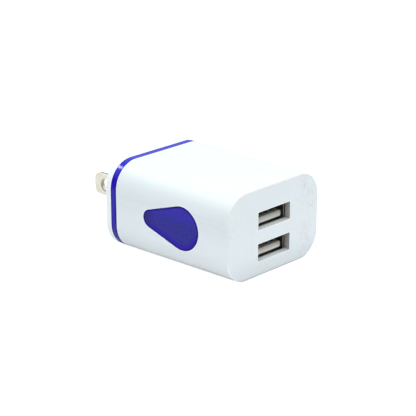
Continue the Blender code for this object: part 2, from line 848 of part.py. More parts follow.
def standing_parts(finishes):
    """The capacitors and the inductor: round bodies that stand on two leads."""
    bottom = MAIN_BOARD_TOP + REST_GAP
    lead_top = bottom + 1.0 * MM
    for name, (x, depth, radius, height, spread) in STANDING_PARTS.items():
        drum = name == "input_inductor"
        profile = drum_profile(radius, height) if drum else can_profile(radius, height)
        material = finishes["ferrite" if drum else "capacitor_sleeve"]
        shape = bmesh.new()
        turned(shape, Vector((x, at_depth(depth), bottom)), "Z", profile)
        part = piece(name, shape, material, smooth=True)
        join_each(
            part,
            [straight_lead(x, depth + side * spread / 2, lead_top) for side in (-1, 1)],
        )


def bent_lead(x, depth, side, start, reach, top):
    """A lead that leaves a part sideways at height top and turns down through the main board."""
    lead = bmesh.new()
    path = (
        (x + side * start, top),
        (x + side * reach, top),
        (x + side * reach, LEAD_BOTTOM),
    )
    strip(lead, path, LEAD / 2, LEAD / 2, "Y", at_depth(depth))
    return lead


def fusible_resistor(material):
    """A round body with a wider cap at each end, lying along X."""
    x, depth = RESISTOR_PLACE
    middle_z = MAIN_BOARD_TOP + REST_GAP + RESISTOR_RADIUS
    end = RESISTOR_HALF_LENGTH
    cap = 1.2 * MM
    slope = 0.3 * MM
    waist = RESISTOR_RADIUS - 0.2 * MM
    neck = RESISTOR_RADIUS - 0.4 * MM
    profile = (
        (-end, neck),
        (-end + slope, RESISTOR_RADIUS),
        (-end + cap, RESISTOR_RADIUS),
        (-end + cap + slope, waist),
        (end - cap - slope, waist),
        (end - cap, RESISTOR_RADIUS),
        (end - slope, RESISTOR_RADIUS),
        (end, neck),
    )
    shape = bmesh.new()
    turned(shape, Vector((x, at_depth(depth), middle_z)), "X", profile)
    part = piece("fusible_resistor", shape, material, smooth=True)
    start = end - cap
    join_each(
        part,
        [bent_lead(x, depth, side, start, RESISTOR_LEAD_REACH, middle_z) for side in (-1, 1)],
    )


def legged_package(name, place, half, height, leg_reach, leg_spread, material):
    """A moulded package on four legs, two on each side."""
    x, depth = place
    stand_off = 0.3 * MM
    bottom = MAIN_BOARD_TOP + stand_off
    shape = bmesh.new()
    box(shape, around(x, half[0]), around(at_depth(depth), half[1]), (bottom, bottom + height))
    part = piece(name, shape, material)
    leg_top = bottom + height / 2
    bury = 0.5 * MM
    start = half[0] - bury
    legs = []
    for side in (-1, 1):
        for end in (-1, 1):
            legs.append(
                bent_lead(x, depth + end * leg_spread, side, start, leg_reach, leg_top)
            )
    join_each(part, legs)


def safety_capacitor(material):
    """A ceramic disc that stands over the optocoupler, from one side of the isolation to the other."""
    x, depth = OPTO_PLACE
    shape = bmesh.new()
    edge = 0.5 * MM
    profile = (
        (-DISC_HALF_THICKNESS, DISC_RADIUS - 2 * edge),
        (-DISC_HALF_THICKNESS + edge, DISC_RADIUS),
        (DISC_HALF_THICKNESS - edge, DISC_RADIUS),
        (DISC_HALF_THICKNESS, DISC_RADIUS - 2 * edge),
    )
    turned(shape, Vector((x, at_depth(depth), DISC_MIDDLE_Z)), "Y", profile)
    disc = piece("safety_capacitor", shape, material, smooth=True)
    legs = []
    for side in (-1, 1):
        leg = bmesh.new()
        path = [(x + side * across, DISC_MIDDLE_Z - below) for across, below in DISC_LEAD_BEND]
        path.append((x + side * OPTO_LEG_REACH, DISC_MIDDLE_Z - DISC_LEAD_DROP))
        path.append((x + side * OPTO_LEG_REACH, LEAD_BOTTOM))
        strip(leg, path, LEAD / 2, LEAD / 2, "Y", at_depth(depth))
        legs.append(leg)
    join_each(disc, legs)


def output_diode(material):
    """A moulded package that narrows a little above and below its parting line."""
    x, depth = DIODE_PLACE
    half_across, half_length = DIODE_HALF
    taper = 0.15 * MM
    base = MAIN_BOARD_TOP + REST_GAP
    shape = bmesh.new()
    loops = []
    for height, inset in ((0, taper), (DIODE_SHOULDER, 0), (DIODE_HEIGHT, 2 * taper)):
        across = around(x, half_across - inset)
        along = around(at_depth(depth), half_length - inset)
        corners = ((0, 0), (1, 0), (1, 1), (0, 1))
        loops.append([Vector((across[i], along[j], base + height)) for i, j in corners])
    loft(shape, loops)
    piece("output_diode", shape, material)


def controller_chip(material):
    """The switching controller, on the underside of the main board, with four legs on each side."""
    x, depth = CHIP_PLACE
    half_across, half_length = CHIP_HALF
    top = MAIN_BOARD_BOTTOM - HOLE_GAP
    bottom = top - CHIP_HEIGHT
    shape = bmesh.new()
    box(shape, around(x, half_across), around(at_depth(depth), half_length), (bottom, top))
    chip = piece("controller_chip", shape, material)
    foot_gap = 0.03 * MM
    foot_z = MAIN_BOARD_BOTTOM - foot_gap - CHIP_LEG_THICKNESS / 2
    knee_z = (top + bottom) / 2
    knee = half_across + CHIP_LEG_SIDE
    shin = 0.1 * MM
    legs = []
    for side in (-1, 1):
        for number in range(4):
            leg = bmesh.new()
            path = (
                (x + side * (half_across - CHIP_LEG_SIDE), knee_z),
                (x + side * knee, knee_z),
                (x + side * (knee + shin), foot_z),
                (x + side * (knee + shin + CHIP_FOOT), foot_z),
            )
            place = at_depth(depth + (number - 1.5) * CHIP_PITCH)
            strip(leg, path, CHIP_LEG_THICKNESS, CHIP_LEG_WIDTH, "Y", place)
            legs.append(leg)
    join_each(chip, legs)


def lamp_resistor(material):
    x, depth = LAMP_RESISTOR_PLACE
    top = MAIN_BOARD_BOTTOM - REST_GAP
    shape = bmesh.new()
    box(
        shape,
        around(x, LAMP_RESISTOR_HALF[0]),
        around(at_depth(depth), LAMP_RESISTOR_HALF[1]),
        (top - LAMP_RESISTOR_HEIGHT, top),
    )
    piece("lamp_resistor", shape, material)


def indicator_lamp(material):
    """A small round lamp that lies on its side and shines at the drop window."""
    radius = 1.5 * MM
    base_x = -10.6 * MM
    flange_radius = 1.9 * MM
    flange = 1.0 * MM
    straight = 3.1 * MM
    profile = [(0, flange_radius), (-flange, flange_radius), (-flange, radius), (-straight, radius)]
    dome_steps = 4
    for step in range(1, dome_steps):
        angle = math.pi / 2 * step / dome_steps
        profile.append((-straight - radius * math.sin(angle), radius * math.cos(angle)))
    shape = bmesh.new()
    turned(shape, Vector((base_x, at_depth(LAMP_DEPTH), LAMP_Z)), "X", profile)
    lamp = piece("indicator_lamp", shape, material, smooth=True)
    start = base_x - 0.5 * MM - LAMP_LEAD_X
    leads = []
    for side in (-1, 1):
        depth = LAMP_DEPTH + side * LAMP_LEAD_SPREAD
        leads.append(bent_lead(LAMP_LEAD_X, depth, 1, start, 0, LAMP_Z))
    join_each(lamp, leads)


def transformer_core(name, end, material):
    """One of the two E-shaped halves, whose middle leg runs into the spool."""
    x, depth = TRANSFORMER_PLACE
    mating_gap = 0.05 * MM
    back = CORE_HALF_LENGTH
    inner = CORE_HALF_LENGTH - CORE_BACK
    right_side = [
        (CORE_HALF_WIDTH, back),
        (CORE_HALF_WIDTH, mating_gap),
        (CORE_LEG_INNER, mating_gap),
        (CORE_LEG_INNER, inner),
        (CORE_MIDDLE_LEG, inner),
        (CORE_MIDDLE_LEG, mating_gap),
    ]
    outline = right_side + [(-across, along) for across, along in reversed(right_side)]
    loops = []
    for z in around(TRANSFORMER_MIDDLE_Z, CORE_HALF_HEIGHT):
        loops.append(
            [Vector((x + across, at_depth(depth + end * along), z)) for across, along in outline]
        )
    shape = bmesh.new()
    loft(shape, loops)
    piece(name, shape, material)


def transformer_bobbin(material):
    """A square spool with a flange at each end and two pins on each flange."""
    x, depth = TRANSFORMER_PLACE
    corner = 0.1 * MM
    hole = (CORE_MIDDLE_LEG + CORE_GAP, CORE_HALF_HEIGHT + CORE_GAP)
    tube = (hole[0] + SPOOL_WALL, hole[1] + SPOOL_WALL)
    end = SPOOL_HALF_LENGTH
    inner_end = end - SPOOL_FLANGE
    loops = []
    for along, half in (
        (-end, hole),
        (-end, SPOOL_FLANGE_HALF),
        (-inner_end, SPOOL_FLANGE_HALF),
        (-inner_end, tube),
        (inner_end, tube),
        (inner_end, SPOOL_FLANGE_HALF),
        (end, SPOOL_FLANGE_HALF),
        (end, hole),
    ):
        middle = Vector((x, at_depth(depth + along), TRANSFORMER_MIDDLE_Z))
        loops.append(rounded_rectangle(middle, half[0], half[1], corner))
    shape = bmesh.new()
    loft(shape, loops, closed=True)
    bobbin = piece("transformer_bobbin", shape, material)
    top = TRANSFORMER_MIDDLE_Z - SPOOL_FLANGE_HALF[1] + 1.0 * MM
    pins = []
    for side in (-1, 1):
        for flange_end in (-1, 1):
            pin_x, pin_depth = bobbin_pin_place(side, flange_end)
            pins.append(straight_lead(pin_x, pin_depth, top))
    join_each(bobbin, pins)


def transformer_winding(material):
    """The wound copper in its tape, between the spool's flanges."""
    x, depth = TRANSFORMER_PLACE
    gap = 0.1 * MM
    spool_side = CORE_GAP + SPOOL_WALL + gap
    inner = (CORE_MIDDLE_LEG + spool_side, CORE_HALF_HEIGHT + spool_side)
    inner_corner = 0.2 * MM
    outer_corner = 1.6 * MM
    reach = SPOOL_HALF_LENGTH - SPOOL_FLANGE - gap
    loops = []
    for along, half, corner in (
        (-reach, inner, inner_corner),
        (-reach, WINDING_HALF, outer_corner),
        (reach, WINDING_HALF, outer_corner),
        (reach, inner, inner_corner),
    ):
        middle = Vector((x, at_depth(depth + along), TRANSFORMER_MIDDLE_Z))
        loops.append(rounded_rectangle(middle, half[0], half[1], corner))
    shape = bmesh.new()
    loft(shape, loops, closed=True)
    piece("transformer_winding", shape, material, smooth=True)


def enclosure(finishes):
    outer_housing(finishes["white_plastic"])
    light_ring(finishes["ring_plastic"])
    back_cover(finishes["white_plastic"])
    drop_window(finishes["window_plastic"])


def plug(finishes):
    for side, word in ((-1, "left"), (1, "right")):
        plug_blade(f"plug_blade_{word}", side, finishes["blade_metal"])
        blade_leaf(f"blade_leaf_{word}", side, finishes["contact_metal"])


def electronics(finishes):
    socket_board(finishes["board_laminate"])
    main_board(finishes["board_laminate"])
    link_pins(finishes["contact_metal"])
    standing_parts(finishes)
    fusible_resistor(finishes["resistor_coat"])
    legged_package(
        "bridge_rectifier",
        BRIDGE_PLACE,
        BRIDGE_HALF,
        2.4 * MM,
        BRIDGE_LEG_REACH,
        BRIDGE_LEG_SPREAD,
        finishes["package_black"],
    )
    legged_package(
        "optocoupler",
        OPTO_PLACE,
        OPTO_HALF,
        3.3 * MM,
        OPTO_LEG_REACH,
        OPTO_LEG_SPREAD,
        finishes["package_black"],
    )
    safety_capacitor(finishes["disc_ceramic"])
    output_diode(finishes["package_black"])
    controller_chip(finishes["package_black"])
    lamp_resistor(finishes["package_black"])
    indicator_lamp(finishes["lamp_epoxy"])
    transformer_core("transformer_core_front", -1, finishes["ferrite"])
    transformer_core("transformer_core_rear", 1, finishes["ferrite"])
    transformer_bobbin(finishes["package_black"])
    transformer_winding(finishes["winding_tape"])


def all_finishes():
    return {
        "white_plastic": plastic("white_plastic", (0.86, 0.89, 0.91), 0.28),
        "ring_plastic": plastic("ring_plastic", (0.05, 0.04, 0.55), 0.15, 0.4),
        "window_plastic": plastic("window_plastic", (0.04, 0.03, 0.32), 0.2, 0.3),
        "tongue_plastic": plastic("tongue_plastic", (0.62, 0.62, 0.62), 0.5),
        "board_laminate": plastic("board_laminate", (0.06, 0.22, 0.1), 0.5),
        "package_black": plastic("package_black", (0.02, 0.02, 0.02), 0.55),
        "winding_tape": plastic("winding_tape", (0.75, 0.5, 0.05), 0.35),
        "capacitor_sleeve": plastic("capacitor_sleeve", (0.02, 0.03, 0.06), 0.3),
        "disc_ceramic": plastic("disc_ceramic", (0.05, 0.2, 0.5), 0.4),
        "resistor_coat": plastic("resistor_coat", (0.25, 0.45, 0.35), 0.45),
        "lamp_epoxy": plastic("lamp_epoxy", (0.1, 0.12, 0.8), 0.1, 0.6),
        "ferrite": plastic("ferrite", (0.05, 0.05, 0.055), 0.6),
        "blade_metal": metal("blade_metal", (0.74, 0.73, 0.64), 0.25),
        "socket_steel": metal("socket_steel", (0.55, 0.53, 0.5), 0.3),
        "contact_metal": metal("contact_metal", (0.8, 0.62, 0.3), 0.25),
    }


def main():
    clear_scene()
    finishes = all_finishes()
    enclosure(finishes)
    plug(finishes)
    sockets(finishes)
    electronics(finishes)


main()
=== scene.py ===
"""Looks of the USB wall charger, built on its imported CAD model. Metres, +Z up, plug blades along +Y.

A "depth" is a distance behind the front face, and an "inset" is a distance inside the body's surface.
"""

import json
import math

import bmesh
import bpy
from mathutils import Matrix, Vector


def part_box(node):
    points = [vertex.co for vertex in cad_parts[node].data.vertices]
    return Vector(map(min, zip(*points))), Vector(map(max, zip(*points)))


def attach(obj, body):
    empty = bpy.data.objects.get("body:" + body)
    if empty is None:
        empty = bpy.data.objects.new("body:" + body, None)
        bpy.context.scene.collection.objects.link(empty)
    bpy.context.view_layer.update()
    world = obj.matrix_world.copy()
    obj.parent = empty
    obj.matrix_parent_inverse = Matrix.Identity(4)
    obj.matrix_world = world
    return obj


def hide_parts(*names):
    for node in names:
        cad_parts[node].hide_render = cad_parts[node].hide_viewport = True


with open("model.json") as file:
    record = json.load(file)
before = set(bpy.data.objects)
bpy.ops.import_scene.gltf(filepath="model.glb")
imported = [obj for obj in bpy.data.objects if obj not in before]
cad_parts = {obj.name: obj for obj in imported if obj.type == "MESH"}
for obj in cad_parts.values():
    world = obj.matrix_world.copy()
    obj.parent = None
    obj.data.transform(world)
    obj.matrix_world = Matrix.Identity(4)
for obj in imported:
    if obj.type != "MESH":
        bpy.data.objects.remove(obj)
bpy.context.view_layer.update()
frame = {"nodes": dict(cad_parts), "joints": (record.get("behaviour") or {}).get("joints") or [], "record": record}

MM = 0.001
BODY = "charger"

# Body outline.
FRONT_CORNER = 7.4 * MM
REAR_CORNER = 7.9 * MM
WALL = 1.8 * MM
FRONT_EDGE = 0.35 * MM
REAR_EDGE = 0.9 * MM
SMALL_EDGE = 0.12 * MM
SEAM = 0.05 * MM
RIM_WIDTH = 0.45 * MM
CORNER_STEPS = 24
EDGE_STEPS = 4
CUTTER_REACH = 1.0 * MM

# Light ring and back cover.
RING_LIP_INSET = WALL + 0.3 * MM
RING_LIP_THICKNESS = 1.2 * MM
COVER_THICKNESS = 1.4 * MM
COVER_RIM = 2.4 * MM
BOSS_MARGIN = 1.2 * MM
BOSS_CORNER = 0.6 * MM
SLOT_GAP = 0.1 * MM
SLOT_CORNER = 0.2 * MM

# Drop window.
DROP_HEAD_DEPTH = 16.95 * MM
DROP_HEAD_RADIUS = 6.24 * MM
DROP_TAIL_DEPTH = 28.79 * MM
DROP_TAIL_RADIUS = 2.61 * MM
DROP_GAP = 0.05 * MM
DROP_FLANGE = 1.15 * MM
DROP_FLANGE_THICKNESS = 0.9 * MM
DROP_SEAT_INSET = WALL + 0.12 * MM
DROP_STEPS = 40
# Rows of the lens skin, as distances inside the housing's opening.
LENS_ROWS = (0.3, 0.45, 0.6, 0.8, 1.1, 1.5, 2.0, 2.5)

# Plug blades.
BLADE_HOLE_FROM_FACE = 12.5 * MM
BLADE_HOLE_RADIUS = 1.95 * MM
BLADE_TIP_RADIUS = 1.8 * MM
BLADE_TIP_STEPS = 8
BLADE_EDGE = 0.16 * MM
BLADE_SPREAD = 12.7 * MM
BLADE_TAIL_HALF = 2.0 * MM
BLADE_SHOULDER_INSIDE = 3.6 * MM
BLADE_START = 0.1 * MM
BLADE_SHANK_RELIEF = 0.1 * MM

# Sockets.
CUTOUT_HALF = (6.5 * MM, 2.5 * MM)
CUTOUT_CORNER = 0.12 * MM
SHELL_THICKNESS = 0.3 * MM
SHELL_CORNER = 0.25 * MM
SHELL_LENGTH = 13.5 * MM
SHELL_LIP = 0.08 * MM
SHELL_LEG_HALF_WIDTH = 0.12 * MM
SHELL_LEG_HALF_HEIGHT = 1.0 * MM
SHELL_LEG_OVERLAP = 1.0 * MM
# The sprung leaves cut from the shell's roof and floor.
LEAF_X = 3.3 * MM
LEAF_HALF_WIDTH = 1.1 * MM
LEAF_FRONT = 3.4 * MM
LEAF_BACK = 9.0 * MM
LEAF_SLIT = 0.35 * MM
LEAF_HALF_THICKNESS = 0.11 * MM
LEAF_BOW = 0.3 * MM
LEAF_BURY = 0.5 * MM
LEAF_STEPS = 10
TONGUE_HALF_WIDTH = 5.55 * MM
TONGUE_TOP = -0.16 * MM
TONGUE_THICKNESS = 1.84 * MM
TONGUE_CORNER = 0.6 * MM
TONGUE_NOSE = 0.3 * MM
TONGUE_BURY = 1.0 * MM
BLOCK_LENGTH = 3.3 * MM
GROOVE_HALF_WIDTH = 0.65 * MM
GROOVE_FLOOR = -1.2 * MM
GROOVE_START = 0.85 * MM
CONTACT_USES = ("power", "data_minus", "data_plus", "ground")
CONTACT_HALF_WIDTH = 0.5 * MM
CONTACT_THICKNESS = 0.25 * MM
CONTACT_EDGE = 0.05 * MM
# The last quarter of the finger narrows by a quarter.
CONTACT_TIP_SHARE = 0.25
CONTACT_TIP_TAPER = 0.25
# The finger's middle line, as (distance in front of its root, height above its root).
CONTACT_PATH = (
    (0.0, 0.0),
    (2.7 * MM, 0.33 * MM),
    (5.5 * MM, 1.05 * MM),
    (6.3 * MM, 1.15 * MM),
    (7.0 * MM, 1.02 * MM),
    (7.7 * MM, 0.6 * MM),
)
CONTACT_STEPS = 8

# Camera.
CAMERA_AZIMUTH = -46.801
CAMERA_ELEVATION = 19.356
CAMERA_ROLL = -0.069
CAMERA_DISTANCE = 420.99 * MM
CAMERA_SIDE = -0.949 * MM
CAMERA_RISE = -0.33 * MM
LENS_MM = 129.84

# Studio light.
HORIZON_LIGHT = 0.75
CEILING_LIGHT = 1.1


# ---- body outline

def slice_of(node, y):
    """The lowest and highest corner of a CAD node's points at this y."""
    near = 0.05 * MM
    points = [v.co for v in frame["nodes"][node].data.vertices if abs(v.co.y - y) < near]
    return Vector(map(min, *points)), Vector(map(max, *points))


HOUSING_LOW, HOUSING_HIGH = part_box("outer_housing")
FRONT_Y = HOUSING_LOW.y
RING_Y = HOUSING_HIGH.y
FACE_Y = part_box("back_cover")[1].y
RING_WIDTH = FACE_Y - COVER_RIM - RING_Y
NEAR_LOW, NEAR_HIGH = slice_of("outer_housing", FRONT_Y + FRONT_EDGE)
FAR_LOW, FAR_HIGH = slice_of("outer_housing", RING_Y)


def at_depth(depth):
    return FRONT_Y + depth


def along_body(near, far, y):
    """A value that runs straight from the front of the housing to its back, carried on to this y."""
    share = (y - FRONT_Y - FRONT_EDGE) / (RING_Y - FRONT_Y - FRONT_EDGE)
    return near + (far - near) * share


def outline_at(y):
    """Half width, half height, height of the middle and corner radius of the body at y."""
    half_x = along_body(NEAR_HIGH.x, FAR_HIGH.x, y)
    low = along_body(NEAR_LOW.z, FAR_LOW.z, y)
    high = along_body(NEAR_HIGH.z, FAR_HIGH.z, y)
    corner = FRONT_CORNER + (REAR_CORNER - FRONT_CORNER) * (y - FRONT_Y) / (FACE_Y - FRONT_Y)
    return half_x, (high - low) / 2, (high + low) / 2, corner


def rounded_rectangle(middle, half_x, half_z, radius, steps=CORNER_STEPS):
    """Points round a rounded rectangle that faces along Y."""
    points = []
    for quarter, (side, top) in enumerate(((1, 1), (-1, 1), (-1, -1), (1, -1))):
        for step in range(steps + 1):
            angle = math.pi / 2 * (quarter + step / steps)
            x = side * (half_x - radius) + radius * math.cos(angle)
            z = top * (half_z - radius) + radius * math.sin(angle)
            points.append(middle + Vector((x, 0, z)))
    return points


def section(depth, inset):
    """The body's outline at a depth, moved inwards by inset."""
    y = at_depth(depth)
    half_x, half_z, middle_z, corner = outline_at(y)
    middle = Vector((0, y, middle_z))
    return rounded_rectangle(middle, half_x - inset, half_z - inset, corner - inset)


def side_x(y, z, inset):
    """The x of the body's left surface at this place, moved inwards by inset."""
    half_x, half_z, middle_z, corner = outline_at(y)
    over = max(0.0, abs(z - middle_z) - (half_z - corner))
    radius = corner - inset
    return -(half_x - corner) - math.sqrt(max(radius * radius - over * over, 0.0))


def edge_arc(radius):
    """Pairs of (distance from the end face, inset) round a quarter-circle edge, out to the side."""
    pairs = []
    for step in range(EDGE_STEPS + 1):
        angle = math.pi / 2 * step / EDGE_STEPS
        pairs.append((radius * (1 - math.cos(angle)), radius * (1 - math.sin(angle))))
    return pairs


def mouth_arc(radius):
    """Pairs of (depth, growth) that round off the mouth of an opening, from inside to outside."""
    proud = 0.002 * MM
    return [(depth - proud, growth) for depth, growth in reversed(edge_arc(radius))]


# ---- mesh building

def loft(shape, loops, closed=False, capped=True):
    """Joins each loop of points to the next, and caps the ends or joins them to each other."""
    rings = [[shape.verts.new(point) for point in loop] for loop in loops]
    pairs = list(zip(rings, rings[1:]))
    if closed:
        pairs.append((rings[-1], rings[0]))
    for ring, following in pairs:
        for i in range(len(ring)):
            j = (i + 1) % len(ring)
            shape.faces.new((ring[i], ring[j], following[j], following[i]))
    if capped and not closed:
        shape.faces.new(rings[0])
        shape.faces.new(rings[-1])
    return rings


def box(shape, x_range, y_range, z_range):
    loops = []
    for z in z_range:
        corners = ((0, 0), (1, 0), (1, 1), (0, 1))
        loops.append([Vector((x_range[i], y_range[j], z)) for i, j in corners])
    loft(shape, loops)


def lofted(loops, closed=False):
    shape = bmesh.new()
    loft(shape, loops, closed)
    return shape


def block(x_range, y_range, z_range):
    shape = bmesh.new()
    box(shape, x_range, y_range, z_range)
    return shape


def around(middle, half):
    return (middle - half, middle + half)


def circle_x(middle, radius, steps=48):
    """Points round a circle that faces along X."""
    points = []
    for step in range(steps):
        angle = 2 * math.pi * step / steps
        points.append(middle + Vector((0, radius * math.cos(angle), radius * math.sin(angle))))
    return points


def mesh_of(name, shape):
    bmesh.ops.recalc_face_normals(shape, faces=shape.faces)
    mesh = bpy.data.meshes.new(name)
    shape.to_mesh(mesh)
    shape.free()
    return mesh


def combine(item, shape, operation):
    """Joins the shape to the item (UNION), cuts it out (DIFFERENCE) or keeps what both hold (INTERSECT)."""
    tool = bpy.data.objects.new(item.name + "_tool", mesh_of("tool", shape))
    bpy.context.collection.objects.link(tool)
    modifier = item.modifiers.new(operation.title(), "BOOLEAN")
    modifier.operation = operation
    modifier.solver = "EXACT"
    modifier.object = tool
    graph = bpy.context.evaluated_depsgraph_get()
    result = bpy.data.meshes.new_from_object(item.evaluated_get(graph))
    item.modifiers.clear()
    item.data = result
    bpy.data.objects.remove(tool, do_unlink=True)


def new_piece(name, shape):
    item = bpy.data.objects.new(name, mesh_of(name, shape))
    bpy.context.collection.objects.link(item)
    return item


def soften_edges(item, width, segments=2, angle=40):
    modifier = item.modifiers.new("Edges", "BEVEL")
    modifier.width = width
    modifier.segments = segments
    modifier.limit_method = "ANGLE"
    modifier.angle_limit = math.radians(angle)


def shade(item, angle=35):
    """Smooth shading that keeps flat faces flat and corners crisp."""
    item.data.shade_smooth()
    item.data.set_sharp_from_angle(angle=math.radians(angle))
    modifier = item.modifiers.new("Normals", "WEIGHTED_NORMAL")
    modifier.keep_sharp = True


def hand_over(item, materials, slot, nodes, body=BODY):
    """Gives the piece the material of its slot and lets it stand for its CAD nodes."""
    item.data.materials.clear()
    item.data.materials.append(materials[slot])
    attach(item, body)
    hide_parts(*nodes)


# ---- enclosure

def drop_points(growth, inset):
    """The drop's outline grown by growth, on the body's left surface moved inwards by inset."""
    head = DROP_HEAD_RADIUS + growth
    tail = DROP_TAIL_RADIUS + growth
    distance = DROP_TAIL_DEPTH - DROP_HEAD_DEPTH
    lean = math.acos((head - tail) / distance)
    points = []
    for middle, radius, start, turn, steps in (
        (DROP_HEAD_DEPTH, head, lean, 2 * (math.pi - lean), DROP_STEPS),
        (DROP_TAIL_DEPTH, tail, -lean, 2 * lean, DROP_STEPS // 2),
    ):
        for step in range(steps + 1):
            angle = start + turn * step / steps
            y = at_depth(middle + radius * math.cos(angle))
            z = radius * math.sin(angle)
            points.append(Vector((side_x(y, z, inset), y, z)))
    return points


def socket_middle(level):
    low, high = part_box(f"usb_shell_{level}")
    return (low.z + high.z) / 2


def cutout_cutter(level):
    """The socket opening in the front wall, with a small rounded edge at its mouth."""
    loops = []
    half_x, half_z = CUTOUT_HALF
    for depth, grow in [(2.5 * WALL, 0.0), *mouth_arc(SMALL_EDGE), (-CUTTER_REACH, SMALL_EDGE)]:
        middle = Vector((0, at_depth(depth), socket_middle(level)))
        corner = CUTOUT_CORNER + grow
        loops.append(rounded_rectangle(middle, half_x + grow, half_z + grow, corner, 4))
    return lofted(loops)


def drop_cutter():
    """The drop-shaped opening in the left wall, with a small rounded edge outside."""
    loops = [drop_points(0, 2 * WALL)]
    loops += [drop_points(growth, inset) for inset, growth in mouth_arc(SMALL_EDGE)]
    return lofted([*loops, drop_points(SMALL_EDGE, -CUTTER_REACH)])


def outer_housing(materials):
    """The white sleeve and front face with its socket and drop openings."""
    end = RING_Y - FRONT_Y
    loops = [section(depth, inset) for depth, inset in edge_arc(FRONT_EDGE)]
    loops += [section(end - depth, inset) for depth, inset in reversed(edge_arc(SMALL_EDGE))]
    loops += [section(end, WALL), section(WALL, WALL)]
    housing = new_piece("housing_sleeve", lofted(loops))
    for level in ("upper", "lower"):
        combine(housing, cutout_cutter(level), "DIFFERENCE")
    combine(housing, drop_cutter(), "DIFFERENCE")
    shade(housing)
    hand_over(housing, materials, "white_plastic", ["outer_housing"])


def light_ring(materials):
    """The translucent band with its softly rounded edges and its inner lips."""
    start = RING_Y - FRONT_Y + SEAM
    end = start + RING_WIDTH - 2 * SEAM
    low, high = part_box("light_ring")
    lip_start = low.y - FRONT_Y
    lip_end = high.y - FRONT_Y
    lip_inner = RING_LIP_INSET + RING_LIP_THICKNESS
    outline = [(start + depth, inset) for depth, inset in edge_arc(SMALL_EDGE)]
    outline += [(end - depth, inset) for depth, inset in reversed(edge_arc(SMALL_EDGE))]
    outline += [
        (end, RING_LIP_INSET),
        (lip_end, RING_LIP_INSET),
        (lip_end, lip_inner),
        (lip_start, lip_inner),
        (lip_start, RING_LIP_INSET),
        (start, RING_LIP_INSET),
    ]
    loops = [section(depth, inset) for depth, inset in outline]
    ring = new_piece("ring_band", lofted(loops, closed=True))
    shade(ring)
    hand_over(ring, materials, "ring_plastic", ["light_ring"])


def back_cover(materials):
    """The white cover behind the ring, with bosses and slots for the blades."""
    start = RING_Y - FRONT_Y + RING_WIDTH
    end = FACE_Y - FRONT_Y
    plate = end - COVER_THICKNESS
    loops = [section(plate, WALL), section(start, WALL)]
    loops += [section(start + depth, inset) for depth, inset in edge_arc(SMALL_EDGE)]
    loops += [section(end - depth, inset) for depth, inset in reversed(edge_arc(REAR_EDGE))]
    cover = new_piece("cover_shell", lofted(loops))
    boss_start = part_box("back_cover")[0].y
    boss_end = at_depth(plate + COVER_THICKNESS / 2)
    for side in ("left", "right"):
        boss = around_blade(side, BOSS_MARGIN, BOSS_CORNER, 6, (boss_start, boss_end))
        combine(cover, boss, "UNION")
        slot_ends = (boss_start - CUTTER_REACH, FACE_Y + CUTTER_REACH)
        combine(cover, around_blade(side, SLOT_GAP, SLOT_CORNER, 4, slot_ends), "DIFFERENCE")
    shade(cover)
    hand_over(cover, materials, "white_plastic", ["back_cover"])


def around_blade(side, margin, corner, steps, ends):
    """A block that stands this margin clear of a plug blade, with rounded corners, between two y."""
    low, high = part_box(f"plug_blade_{side}")
    middle_x = (low.x + high.x) / 2
    half_x = (high.x - low.x) / 2 + margin
    half_z = high.z + margin
    middles = [Vector((middle_x, y, 0)) for y in ends]
    return lofted([rounded_rectangle(middle, half_x, half_z, corner, steps) for middle in middles])


def drop_window(materials):
    """The lens: a skin that follows the housing's side, a rounded rim and a flange behind the wall."""
    shape = bmesh.new()
    rim = shape.verts.layers.float.new("rim")
    facing = shape.verts.layers.float.new("facing")
    rows = [
        (DROP_FLANGE, DROP_SEAT_INSET + DROP_FLANGE_THICKNESS),
        (DROP_FLANGE, DROP_SEAT_INSET),
        (-DROP_GAP, DROP_SEAT_INSET),
    ]
    rows += [(-DROP_GAP - retreat, inset) for inset, retreat in reversed(edge_arc(SMALL_EDGE))]
    rows += [(-row * MM, 0.0) for row in LENS_ROWS]
    rings = loft(shape, [drop_points(growth, inset) for growth, inset in rows], capped=False)
    for (growth, _), ring in zip(rows, rings):
        for vertex, outer in zip(ring, rings[0]):
            vertex[rim] = max(0.0, -growth - DROP_GAP)
            vertex[facing] = outer.co.z / DROP_HEAD_RADIUS
    fill_middle(shape, rings[-1], rim, facing)
    shape.faces.new(rings[0])
    window = new_piece("window_lens", shape)
    shade(window)
    hand_over(window, materials, "window_plastic", ["drop_window"])


def fill_middle(shape, ring, rim, facing):
    """Closes the innermost loop with rows that shrink towards the drop's middle line."""
    count = len(ring)
    middle_y = at_depth(DROP_HEAD_DEPTH)
    start = LENS_ROWS[-1] * MM
    previous = ring
    for share in (0.75, 0.5, 0.25):
        row = []
        for vertex in ring:
            y = middle_y + (vertex.co.y - middle_y) * share
            z = vertex.co.z * share
            new = shape.verts.new((side_x(y, z, 0), y, z))
            new[rim] = start + (1 - share) * DROP_HEAD_RADIUS / 2
            new[facing] = vertex[facing] * share
            row.append(new)
        for i in range(count):
            j = (i + 1) % count
            shape.faces.new((previous[i], previous[j], row[j], row[i]))
        previous = row
    shape.faces.new(previous)


# ---- plug blades

